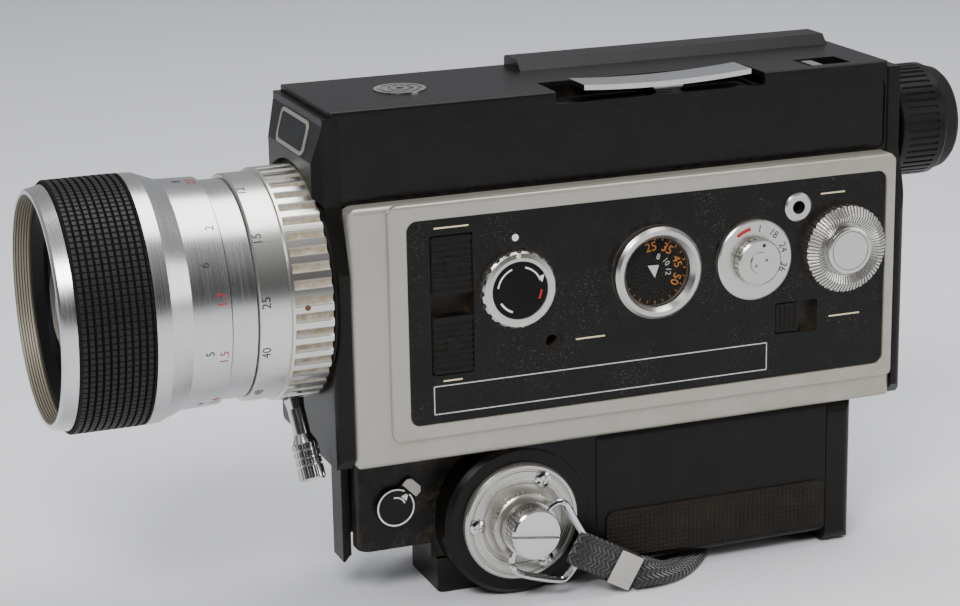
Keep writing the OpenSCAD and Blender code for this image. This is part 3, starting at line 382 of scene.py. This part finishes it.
def ribs_material():
    M = Mat("zoom_ring_metal", (0.66, 0.65, 0.62), 0.25, 1.0)
    r = M.radius()
    groove = M.math("MULTIPLY", M.ramp(r, 28.95, 28.35), M.ramp(M.x, -51.2, -50.7))
    line = M.noise(1.0, 3, 0.7, M.vec(M.math("MULTIPLY", M.x, 5.0), 0.0, 0.0))
    col = M.mix(M.ramp(line, 0.3, 0.7, 0, 0.22), (0.66, 0.65, 0.62), (0.52, 0.51, 0.48))
    # painted shade: groove floors and occluded corners darkened towards brown, unevenly by noise
    dirt_and_shade = M.math("MULTIPLY", groove, M.ramp(M.noise(0.5, 4, 0.7), 0.2, 0.6, 0.35, 0.9))
    dirt_and_shade = M.math("MAXIMUM", dirt_and_shade, M.ramp(M.math("SUBTRACT", 1.0, M.ao(0.003)), 0.35, 0.95, 0, 0.7))
    M.color(M.mix(dirt_and_shade, col, (0.22, 0.165, 0.085)))
    M.roughness(M.mixf(dirt_and_shade, 0.27, 0.8))
    M.metallic(M.mixf(dirt_and_shade, 1.0, 0.05))
    return M.m


def focus_rubber_material():
    M = Mat("focus_rubber", (0.012, 0.012, 0.012), 0.62, 0.0, spec=0.3)
    # square studs: cuts along the barrel at every 3 degrees
    t = M.math("FRACT", M.math("MULTIPLY", M.angle(), 124 / (2 * math.pi)))
    cut = M.ramp(M.math("ABSOLUTE", M.math("SUBTRACT", t, 0.5)), 0.30, 0.42, 0.0, 1.0)
    u = M.math("FRACT", M.math("DIVIDE", M.math("ADD", M.x, 101.6), 1.72))
    ring = M.ramp(M.math("ABSOLUTE", M.math("SUBTRACT", u, 0.17)), 0.24, 0.12, 0.0, 1.0)
    deep = M.math("MAXIMUM", cut, ring)
    wear = M.ramp(M.noise(0.15, 4, 0.6), 0.4, 0.7, 0.0, 0.5)
    top = M.mix(wear, (0.006, 0.006, 0.006), (0.014, 0.013, 0.012))
    # painted shade: the cuts and rings between the studs are darker than the stud tops
    M.color(M.mix(deep, top, (0.0015, 0.0015, 0.0015)))
    M.roughness(M.mixf(deep, 0.5, 0.9))
    M.bump(M.math("SUBTRACT", 1.0, deep), 0.9, 0.0005)
    return M.m


def pad_material():
    M = Mat("grip_texture", (0.05, 0.036, 0.026), 0.6, 0.0, spec=0.25)
    gx = M.math("FRACT", M.math("DIVIDE", M.x, 1.25))
    gz = M.math("FRACT", M.math("DIVIDE", M.z, 1.25))
    lx = M.ramp(M.math("ABSOLUTE", M.math("SUBTRACT", gx, 0.5)), 0.26, 0.40)
    lz = M.ramp(M.math("ABSOLUTE", M.math("SUBTRACT", gz, 0.5)), 0.26, 0.40)
    deep = M.math("MAXIMUM", lx, lz)
    n = M.ramp(M.noise(0.12, 5, 0.65), 0.35, 0.7, 0.25, 1.0)
    top = M.mix(M.ramp(M.noise(0.2, 4, 0.6), 0.4, 0.7), (0.005, 0.0042, 0.0035), (0.012, 0.009, 0.0065))
    M.color(M.mix(M.math("MULTIPLY", deep, n), top, (0.028, 0.018, 0.010)))
    M.roughness(M.mixf(deep, 0.45, 0.9))
    M.bump(M.math("SUBTRACT", 1.0, deep), 0.8, 0.0004)
    return M.m


def weave_material():
    M = Mat("woven_strap", (0.012, 0.012, 0.013), 0.75, 0.0, spec=0.35, sheen=0.25)
    sep = M.nt.nodes.new("ShaderNodeSeparateXYZ")
    M.put(sep.inputs[0], M.uv)
    u, v = sep.outputs[0], sep.outputs[1]      # u across in 0..1, v along in millimetres
    a = M.math("MULTIPLY", u, 6.0)
    zig = M.math("MULTIPLY", M.math("ABSOLUTE", M.math("SUBTRACT", M.math("FRACT", M.math("MULTIPLY", a, 0.5)), 0.5)), 2.0)
    w = M.math("FRACT", M.math("ADD", M.math("DIVIDE", v, 1.5), zig))
    h = M.ramp(M.math("ABSOLUTE", M.math("SUBTRACT", w, 0.5)), 0.1, 0.5, 1.0, 0.0)
    e = M.ramp(M.math("ABSOLUTE", M.math("SUBTRACT", M.math("FRACT", a), 0.5)), 0.3, 0.5, 1.0, 0.55)
    hh = M.math("MULTIPLY", h, e)
    # painted shade: strand edges and the gaps between strands are darker than the strand tops
    M.color(M.mix(hh, (0.004, 0.004, 0.004), M.mix(M.ramp(M.noise(1.5, 3, 0.6), 0.4, 0.7), (0.020, 0.020, 0.021), (0.045, 0.042, 0.038))))
    M.bump(hh, 0.9, 0.0006)
    return M.m


def glass_material(name, base, rough=0.03):
    M = Mat(name, base, rough, 0.0, spec=0.35)
    M.b.inputs["Specular Tint"].default_value = (0.45, 0.30, 1.0, 1)
    r = M.radius()
    # painted shade: the glass darkens towards its rim
    M.color(M.mix(M.ramp(r, 3, 24), base, tuple(c * 0.35 for c in base)))
    M.roughness(M.ramp(M.noise(0.25, 5, 0.7), 0.4, 0.8, rough, rough + 0.06))
    return M.m


def clear_material():
    M = Mat("clear_acrylic", (0.93, 0.93, 0.92), 0.04, 0.0, spec=0.6)
    M.b.inputs["Transmission Weight"].default_value = 1.0
    M.b.inputs["IOR"].default_value = 1.12
    M.roughness(M.ramp(M.noise(0.6, 4, 0.6), 0.4, 0.8, 0.03, 0.10))
    return M.m


def paint(name, base, rough=0.5, metal_=0.0):
    M = Mat(name, base, rough, metal_)
    M.color(M.mix(M.ramp(M.noise(1.2, 4, 0.7), 0.4, 0.75, 0.0, 0.35), base, tuple(c * 0.6 for c in base)))
    return M.m


mats["ribs"] = ribs_material()
mats["m_mode"] = mode_material()
mats["m_disc"] = disc_material()
mats["focus_rubber"] = focus_rubber_material()
mats["pad"] = pad_material()
mats["weave"] = weave_material()
mats["glass"] = glass_material("coated_glass", (0.010, 0.004, 0.022))
mats["eye_glass"] = glass_material("eyepiece_glass", (0.02, 0.02, 0.035))
mats["clear"] = clear_material()
mats["rubber"] = casting("rubber_black", (0.006, 0.006, 0.006), 0.6, 0.35)
mats["deep_black"] = casting("deep_black", (0.0025, 0.0025, 0.0028), 0.5, 0.15, 0.5, 1.2, 0.15)
mats["nylon"] = paint("nylon_white", (0.62, 0.59, 0.52), 0.45)
mats["brass"] = metal("cut_brass", (0.62, 0.44, 0.18), 0.3, None, 0.2)
mats["cell"] = paint("battery_jacket", (0.50, 0.33, 0.08), 0.35, 0.3)
mats["white"] = paint("white_print", (0.78, 0.77, 0.72), 0.5)
mats["cream"] = paint("cream_print", (0.70, 0.62, 0.38), 0.5)
mats["red"] = paint("red_print", (0.42, 0.008, 0.008), 0.6)
mats["cream_metal"] = paint("lever_tab", (0.42, 0.40, 0.34), 0.4, 0.5)
mats["screw"] = paint("screw_brown", (0.10, 0.05, 0.02), 0.6)
mats["orange"] = paint("orange_print", (0.70, 0.24, 0.015), 0.55)
mats["black_print"] = paint("black_print", (0.012, 0.012, 0.012), 0.5)
mats["silver_print"] = paint("silver_print", (0.55, 0.55, 0.53), 0.35, 0.6)
mats["dial_black"] = casting("dial_black", (0.002, 0.002, 0.002), 0.35, 0.12, 0.7, 1.3, 0.15)
mats["smoke"] = gloss("smoked_window", (0.02, 0.012, 0.010), 0.08, 0.4, 0.2)

LOOK = {
    "chassis": "casting", "front_casting": "casting", "badge": "silver", "side_cover": "silver", "control_panel": "panel",
    "upper_housing": "gloss", "top_plate": "casting", "light_socket": "top_chrome", "rear_casting": "casting",
    "eyepiece_tube": "plastic", "diopter_ring": "plastic", "eyecup": "rubber", "eyepiece_lens": "eye_glass",
    "lens_flange": "plastic", "lens_barrel": "lens_metal", "rear_element": "glass", "focus_barrel": "focus_metal",
    "focus_rubber": "focus_rubber", "front_retainer": "deep_black", "front_element": "glass", "zoom_ring": "ribs",
    "zoom_lever": "chrome", "variator_cell": "steel", "zoom_rocker": "top_chrome", "top_slider": "steel",
    "auto_dial": "m_auto", "footage_bezel": "m_footage", "footage_glass": "clear", "footage_dial": "dial_black",
    "speed_plate": "m_speed", "speed_knob": "m_speed", "mode_knob": "m_mode", "remote_jack": "m_jack",
    "backlight_button": "key", "fade_button": "key", "zoom_speed_switch": "key", "film_door": "silver", "door_latch": "plastic",
    "film_gate": "steel", "takeup_spindle": "nylon", "motor": "steel", "motor_pinion": "brass", "shutter_disc": "steel",
    "viewfinder_tube": "plastic", "keel": "keel", "tripod_block": "under", "trigger": "plastic", "lock_lever": "plastic",
    "pivot_bolt": "steel", "grip_shell": "cover_brown", "grip_pads": "pad", "battery_cap": "cover_brown", "batteries": "cell",
    "clutch_disc": "m_disc", "disc_screws": "chrome", "strap_knob": "chrome", "wire_loop": "chrome", "strap_neck": "weave",
    "strap_ferrule": "ferrule", "strap_band": "weave",
}
for n, o in NODES.items():
    mesh_o = o if o.type == "MESH" else None
    if mesh_o is None:
        continue
    mesh_o.data.materials.clear()
    mesh_o.data.materials.append(mats[LOOK.get(n, "plastic")] if isinstance(mats[LOOK.get(n, "plastic")], bpy.types.Material) else None)


# ------------------------------------------------------------------ mesh helpers
def mesh_object(name, verts, faces, mat, body, smooth=False):
    me = bpy.data.meshes.new(name)
    me.from_pydata([Vector(v) * MM for v in verts], [], faces)
    me.validate()
    me.update()
    if smooth:
        me.shade_smooth()
    me.materials.append(mats[mat])
    o = bpy.data.objects.new(name, me)
    bpy.context.scene.collection.objects.link(o)
    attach(o, body)
    return o


def glyph(text, height):
    """outline mesh of digits, centred, height in mm: (verts 2D, faces)"""
    cu = bpy.data.curves.new("tmp_text", "FONT")
    cu.body = text
    cu.align_x = "CENTER"
    cu.align_y = "CENTER"
    cu.size = height * 1.38
    cu.resolution_u = 3
    o = bpy.data.objects.new("tmp_text", cu)
    bpy.context.scene.collection.objects.link(o)
    dg = bpy.context.evaluated_depsgraph_get()
    me = bpy.data.meshes.new_from_object(o.evaluated_get(dg))
    v = [(p.co.x, p.co.y) for p in me.vertices]
    f = [tuple(p.vertices) for p in me.polygons]
    bpy.data.objects.remove(o)
    bpy.data.curves.remove(cu)
    bpy.data.meshes.remove(me)
    return v, f


class Decals:
    """flat print gathered into one mesh per colour and body"""

    def __init__(self):
        self.sets = {}

    def add(self, body, mat, verts, faces, slot="dark_dial"):
        s = self.sets.setdefault((body, mat, slot), ([], []))
        k = len(s[0])
        s[0].extend(verts)
        s[1].extend([tuple(i + k for i in f) for f in faces])

    def build(self):
        for (body, mat, slot), (v, f) in self.sets.items():
            mesh_object("print_" + mat + "_" + body, v, f, mat, body)


D = Decals()


def lens_print(text, xc, th, h, r, body, mat, slot="satin_chrome"):
    """print round the lens: th in degrees up from the operating side, tops towards the front"""
    v, f = glyph(text, h)
    out = []
    for u, w in v:
        rr = r(xc - w) if callable(r) else r
        a = math.radians(th) + u / rr
        out.append((xc - w, -rr * math.cos(a), ZL + rr * math.sin(a)))
    D.add(body, mat, out, f, slot)


def lens_bar(xa, xb, th, wid, r, body, mat, slot="satin_chrome"):
    n = 4
    vs, fs = [], []
    for i in range(n + 1):
        a = math.radians(th) + (i / n - 0.5) * wid / r
        for x in (xa, xb):
            vs.append((x, -r * math.cos(a), ZL + r * math.sin(a)))
    for i in range(n):
        fs.append((2 * i, 2 * i + 2, 2 * i + 3, 2 * i + 1))
    D.add(body, mat, vs, fs, slot)


def flat_print(text, x, z, y, h, body, mat, ang=0.0, slot="dark_dial"):
    v, f = glyph(text, h)
    c, s = math.cos(math.radians(ang)), math.sin(math.radians(ang))
    D.add(body, mat, [(x + u * c - w * s, y, z + u * s + w * c) for u, w in v], f, slot)


def flat_poly(pts, y, body, mat, slot="dark_dial"):
    D.add(body, mat, [(p[0], y, p[1]) for p in pts], [tuple(range(len(pts)))], slot)


def flat_ring(x, z, ra, rb, y, body, mat, a0=0.0, a1=360.0, n=48, slot="dark_dial"):
    vs, fs = [], []
    for i in range(n + 1):
        a = math.radians(a0 + (a1 - a0) * i / n)
        for r in (ra, rb):
            vs.append((x + r * math.cos(a), y, z + r * math.sin(a)))
    for i in range(n):
        fs.append((2 * i, 2 * i + 1, 2 * i + 3, 2 * i + 2))
    D.add(body, mat, vs, fs, slot)


def flat_disc(x, z, r, y, body, mat, n=24, slot="dark_dial"):
    flat_poly([(x + r * math.cos(2 * math.pi * i / n), z + r * math.sin(2 * math.pi * i / n)) for i in range(n)], y, body, mat, slot)


# ------------------------------------------------------------------ print on the lens
def r_scale(x):
    return 28.5 - (x + 75.69) / 9.39 * 0.3 + 0.03


def r_zoom(x):
    return 28.33 if x > -59 else 28.33 - (-59 - x)


for t, th, c, x in (("8", 87, "black_print", -71.6), ("2.5", 86, "red", -68.2), ("6", 27.6, "black_print", -71.4), ("2", 46.7, "red", -68.4), ("1.7", 10.4, "red", -68.3),
                    ("5", -16.6, "black_print", -71.6), ("1.5", -19.6, "red", -68.1), ("10", 124, "black_print", -71.6), ("3", 124, "red", -68.2), ("4", -58, "black_print", -71.6), ("1.4", -56, "red", -68.2)):
    lens_print(t, x, th, 2.2, r_scale, "focus", c)
for t, th in (("15", 37.9), ("25", 6.3), ("40", -20.1), ("12", 69.3), ("48", -52)):
    lens_print(t, -57.7, th, 2.3, r_zoom, "zoom", "black_print")
# small screw in the ribbed ring
vs = []
for k in range(16):
    an = math.radians(22.5 * k)
    th = math.radians(1.9) + 0.75 * math.sin(an) / 29.2
    vs.append((-47.9 + 0.75 * math.cos(an), -29.16 * math.cos(th), ZL + 29.16 * math.sin(th)))
D.add("zoom", "screw", vs, [tuple(range(16))], "satin_chrome")

# ------------------------------------------------------------------ print and small parts on the control panel
YP = -HW - 0.74
X0, ZB = -36.0, 41.5


def px(x, z):
    return X0 + x, ZB + z


# outline of the blank nameplate
a, b = px(20.6, 19.4), px(112.0, 12.2)
for p in (((a[0], a[1]), (b[0], a[1]), 0.28), ((a[0], b[1]), (b[0], b[1]), 0.28)):
    (xa, za), (xb, zb_), t = p
    flat_poly([(xa, za - t / 2), (xb, za - t / 2), (xb, za + t / 2), (xa, za + t / 2)], YP, "body", "silver_print")
for x in (a[0], b[0]):
    flat_poly([(x - 0.14, b[1]), (x + 0.14, b[1]), (x + 0.14, a[1]), (x - 0.14, a[1])], YP, "body", "silver_print")
# index dots over the exposure dial
flat_disc(*px(42.6, 55.0), 0.9, YP, "body", "white")
# plain dashes where the controls are marked
for (x, z, w, c) in ((25.9, 59.5, 9, "cream"), (25.6, 20.6, 5, "cream"), (62.5, 27.0, 8, "cream"), (130.5, 57.4, 7, "cream"), (134.5, 24.4, 9, "cream")):
    xx, zz = px(x, z)
    flat_poly([(xx - w / 2, zz - 0.2), (xx + w / 2, zz - 0.2), (xx + w / 2, zz + 0.2), (xx - w / 2, zz + 0.2)], YP, "body", c)

# exposure dial: black centre with marks
cx_, cz_ = 6.86, 83.57
YD = -HW - 2.66
flat_disc(cx_, cz_, 7.35, YD, "exposure_dial", "dial_black", 48)
flat_ring(cx_, cz_, 5.6, 6.0, YD - 0.05, "exposure_dial", "white", 20, 75, 12)
flat_ring(cx_, cz_, 5.6, 6.0, YD - 0.05, "exposure_dial", "white", 110, 170, 12)
flat_poly([(cx_ + 6.6, cz_ + 3.4), (cx_ + 5.0, cz_ + 2.9), (cx_ + 5.9, cz_ + 1.4)], YD - 0.05, "exposure_dial", "white")
flat_ring(cx_, cz_, 5.5, 6.0, YD - 0.05, "exposure_dial", "red", -28, -4, 8)
flat_ring(cx_, cz_, 5.5, 6.0, YD - 0.05, "exposure_dial", "white", 210, 250, 8)
for (dx_, dz_) in ((-0.4, 8.75), (0.4, -8.75)):
    flat_disc(cx_ + dx_, cz_ + dz_, 0.65, -HW - 3.15, "exposure_dial", "cream", 16)

# footage counter
cx_, cz_ = 44.28, 83.79
YF = -HW - 0.56
for i, (t, c) in enumerate((("25", "orange"), ("35", "orange"), ("45", "orange"), ("50", "orange"))):
    an = 100 - i * 42
    flat_print(t, cx_ + 6.2 * math.cos(math.radians(an)), cz_ + 6.2 * math.sin(math.radians(an)), YF, 2.3, "footage", c, an - 90)
for i, (t, c) in enumerate((("8", "white"), ("10", "white"), ("12", "white"))):
    an = 76 - i * 42
    flat_print(t, cx_ + 3.6 * math.cos(math.radians(an)), cz_ + 3.6 * math.sin(math.radians(an)), YF, 1.5, "footage", c, an - 90)
for i in range(24):
    an = math.radians(i * 15)
    ca, sa = math.cos(an), math.sin(an)
    flat_poly([(cx_ + 7.8 * ca - 0.12 * sa, cz_ + 7.8 * sa + 0.12 * ca), (cx_ + 7.8 * ca + 0.12 * sa, cz_ + 7.8 * sa - 0.12 * ca),
               (cx_ + 8.5 * ca + 0.12 * sa, cz_ + 8.5 * sa - 0.12 * ca), (cx_ + 8.5 * ca - 0.12 * sa, cz_ + 8.5 * sa + 0.12 * ca)], YF, "footage", "orange")
flat_poly([(cx_ - 2.2, cz_ + 1.6), (cx_ + 0.9, cz_ + 1.5), (cx_ - 0.2, cz_ - 1.7)][::-1], YF - 0.3, "body", "white")

# speed dial
cx_, cz_ = 71.77, 83.8
YS = -HW - 2.24
flat_ring(cx_, cz_, 8.0, 8.9, YS, "body", "red", 100, 128, 8)
for t, an in (("1", 82), ("18", 52), ("24", 18), ("36", -18)):
    flat_print(t, cx_ + 8.2 * math.cos(math.radians(an)), cz_ + 8.2 * math.sin(math.radians(an)), YS, 1.9, "body", "black_print", an - 90)
flat_disc(cx_ + 1.0, cz_ + 4.4, 0.5, -HW - 5.06, "speed", "black_print", 12)

# centre of the mode wheel
cx_, cz_ = 97.2, 84.3
flat_ring(cx_, cz_, 5.0, 5.15, -HW - 5.84, "mode", "black_print", 0, 360, 40)

# badge: blank black plate inside the silver rim
def badge_point(y, z, off):
    ca, sa = math.cos(math.radians(15.1)), math.sin(math.radians(15.1))
    x = off
    return (-42.6 + x * ca + z * sa, y, 118.1 - x * sa + z * ca)


vs = []
for (yc, zc, a0) in ((-8.9, 2.6, 180), (8.9, 2.6, 270), (8.9, 6.8, 0), (-8.9, 6.8, 90)):
    for k in range(7):
        an = math.radians(a0 + 15 * k)
        vs.append(badge_point(yc + 1.35 * math.cos(an), zc + 1.35 * math.sin(an), -0.19))
D.add("body", "gloss", vs, [tuple(range(len(vs)))], "gloss_black")

# lock lever: white ring and arrow
cx_, cz_ = -21.7, 25.6
flat_ring(cx_, cz_, 4.6, 5.0, -12.53, "lock", "white", 60, 400, 40)
flat_poly([(cx_ + 1.5, cz_ + 2.8), (cx_ + 3.6, cz_ + 3.6), (cx_ + 2.9, cz_ + 1.4)], -12.36, "lock", "white")
flat_ring(cx_, cz_, 2.4, 2.8, -12.36, "lock", "white", 20, 100, 10)

ca = math.cos(math.radians(45))
tab = [(5.45, -2.6), (7.2, -2.6), (8.2, -1.6), (8.2, 1.6), (7.2, 2.6), (5.45, 2.6)]
flat_poly([(cx_ + (u - v) * ca, cz_ + (u + v) * ca) for u, v in tab], -11.94, "lock", "cream_metal")

D.build()

# ------------------------------------------------------------------ strap
# length of the loop as built, outside the ferrule, in metres
path = [(36.9, -28.4, 4.5, 62), (41.5, -28, 4.1, 46), (46.5, -26.3, 2.8, 26), (51.5, -23.2, 1.6, 10), (57, -18, 0.85, 0), (62.5, -11, 0.8, 0), (67.5, -2, 0.8, 0),
        (71.5, 8, 0.8, 0), (74.5, 19, 0.8, 0), (77, 30, 0.8, 0), (78.5, 40, 0.8, 0), (77, 50, 0.8, 0), (71, 58.5, 0.8, 0), (61, 62.3, 0.8, 0), (51, 59.5, 0.8, 0), (44, 51.5, 0.8, 0),
        (41.5, 41, 0.8, 0), (41.5, 30, 0.8, 0), (42.3, 19, 0.8, 0), (43, 8, 0.8, 0), (43, -3, 0.8, 0), (41.8, -13, 0.8, 0), (39.6, -20.5, 0.9, 0), (36.9, -26, 1.3, 0)]


def smooth(p, k):
    out = []
    for i in range(len(p) - 1):
        a, b, c, d = p[max(i - 1, 0)], p[i], p[i + 1], p[min(i + 2, len(p) - 1)]
        for j in range(k):
            t = j / k
            out.append(tuple(0.5 * (2 * b[q] + (c[q] - a[q]) * t + (2 * a[q] - 5 * b[q] + 4 * c[q] - d[q]) * t * t + (3 * b[q] - a[q] - 3 * c[q] + d[q]) * t ** 3) for q in range(4)))
    out.append(tuple(p[-1]))
    return out


def band(name, pts, half, thick, mat, body, across=None):
    """flat woven band swept along pts, with UVs: u across, v along in mm"""
    sec = []
    n = 16
    for k in range(n):
        a = 2 * math.pi * k / n
        cx, cy = math.cos(a), math.sin(a)
        e = 0.35
        sec.append((half * math.copysign(abs(cx) ** e, cx), thick / 2 * math.copysign(abs(cy) ** 0.6, cy)))
    vs, run, dist = [], [], 0.0
    for i, p in enumerate(pts):
        a, b = Vector(pts[max(i - 1, 0)][:3]), Vector(pts[min(i + 1, len(pts) - 1)][:3])
        t = (b - a).normalized()
        if across is None:
            h = Vector((-t.y, t.x, 1e-9)).normalized()
            v = t.cross(h)
            w = h * math.cos(math.radians(p[3])) + v * math.sin(math.radians(p[3]))
        else:
            w = (across - t * across.dot(t)).normalized()
        nn = t.cross(w)
        c = Vector(p[:3])
        if i:
            dist += (c - Vector(pts[i - 1][:3])).length
        run.append(dist)
        for s in sec:
            vs.append(c + w * s[0] + nn * s[1])
    fs, uvs = [], []
    for i in range(len(pts) - 1):
        for j in range(n):
            k = (j + 1) % n
            fs.append((i * n + j, (i + 1) * n + j, (i + 1) * n + k, i * n + k))
            u0, u1 = sec[j][0] / half * 0.5 + 0.5, sec[k][0] / half * 0.5 + 0.5
            uvs.append([(u0, run[i]), (u0, run[i + 1]), (u1, run[i + 1]), (u1, run[i])])
    fs.append(tuple(range(n)))
    fs.append(tuple((len(pts) - 1) * n + j for j in range(n - 1, -1, -1)))
    for e in range(2):
        uvs.append([(0.5, 0)] * n)
    me = bpy.data.meshes.new(name)
    me.from_pydata([v * MM for v in vs], [], fs)
    lay = me.uv_layers.new(name="UVMap")
    k = 0
    for poly, uv in zip(me.polygons, uvs):
        for q in uv:
            lay.data[k].uv = q
            k += 1
    me.shade_smooth()
    me.materials.append(mats[mat])
    o = bpy.data.objects.new(name, me)
    bpy.context.scene.collection.objects.link(o)
    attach(o, body)
    return o, dist


fine = smooth(path, 6)
strap, strap_len = band("woven_strap", fine, 4.2, 1.45, "weave", "grip")
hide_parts("strap_band")
# neck: the strap's end folded round the wire bar
ax = Vector((0.876, 0, -0.482))
wd = Vector((0.482, 0, 0.876))
end = Vector((31.2, -28.0, 8.1))
bar = Vector((22.1, -27.0, 9.9))
npts = []
for s, y in ((0.0, 1.3), (2.5, 1.35), (5.0, 1.5), (7.2, 1.9), (8.8, 2.1)):
    npts.append((end - ax * s).to_tuple()[:1] + (end.y - y,) + ((end - ax * s).z,))
for k in range(1, 8):
    a = math.radians(90 - k * 22.5)
    q = end - ax * (9.3 + 1.9 * math.cos(a))
    npts.append((q.x, end.y + 0.15 - 2.05 * math.sin(a), q.z))
for s, y in ((8.8, 1.9), (7.2, 1.7), (5.0, 1.2), (2.5, 0.95), (0.0, 0.9)):
    q = end - ax * s
    npts.append((q.x, end.y + y, q.z))
neck, neck_len = band("strap_neck_fold", [(*p, 0) for p in npts], 4.4, 1.5, "weave", "grip", across=wd)
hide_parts("strap_neck")

# ------------------------------------------------------------------ stage
def stage_material(name, base):
    M = Mat(name, base, 0.55)
    M.color(M.mix(M.ramp(M.noise(0.004, 4, 0.6), 0.3, 0.7, 0, 0.12), base, tuple(c * 0.9 for c in base)))
    return M.m


mats["floor"] = stage_material("floor_white", (0.80, 0.81, 0.84))
me = bpy.data.meshes.new("floor")
me.from_pydata([(-6, -6, -0.0002), (6, -6, -0.0002), (6, 6, -0.0002), (-6, 6, -0.0002)], [], [(0, 1, 2, 3)])
me.materials.append(mats["floor"])
floor = bpy.data.objects.new("floor", me)
bpy.context.scene.collection.objects.link(floor)
floor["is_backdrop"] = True


def area(name, loc, target, size_, power, col=(1, 1, 1)):
    l = bpy.data.lights.new(name, "AREA")
    l.shape = "RECTANGLE"
    l.size, l.size_y = size_
    l.energy = power
    l.color = col
    o = bpy.data.objects.new(name, l)
    bpy.context.scene.collection.objects.link(o)
    o.location = loc
    o.rotation_euler = (Vector(target) - Vector(loc)).to_track_quat("-Z", "Y").to_euler()
    return o


area("key", (-0.50, -0.80, 0.95), (0, 0, 0.07), (0.55, 0.4), 15)
area("top", (0.25, 0.10, 1.15), (0.02, 0, 0.07), (0.9, 0.6), 11)
area("fill", (0.9, -0.7, 0.45), (0.03, 0, 0.06), (0.6, 0.6), 3.5)
w = bpy.data.worlds.new("world")
w.use_nodes = True
wn = w.node_tree
bg = wn.nodes["Background"]
tcw = wn.nodes.new("ShaderNodeTexCoord")
dot = wn.nodes.new("ShaderNodeVectorMath")
dot.operation = "DOT_PRODUCT"
dot.inputs[1].default_value = (-0.25, -0.93, -0.28)
wn.links.new(tcw.outputs["Generated"], dot.inputs[0])
mr = wn.nodes.new("ShaderNodeMapRange")
mr.interpolation_type = "SMOOTHSTEP"
wn.links.new(dot.outputs["Value"], mr.inputs["Value"])
for k, v in (("From Min", -0.15), ("From Max", 0.75), ("To Min", 0.42), ("To Max", 0.02)):
    mr.inputs[k].default_value = v
wn.links.new(mr.outputs["Result"], bg.inputs["Strength"])
bg.inputs["Color"].default_value = (0.93, 0.95, 1.0, 1)
bpy.context.scene.world = w

size["final"] = plain(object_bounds())
print("strap", strap_len, "neck", neck_len)
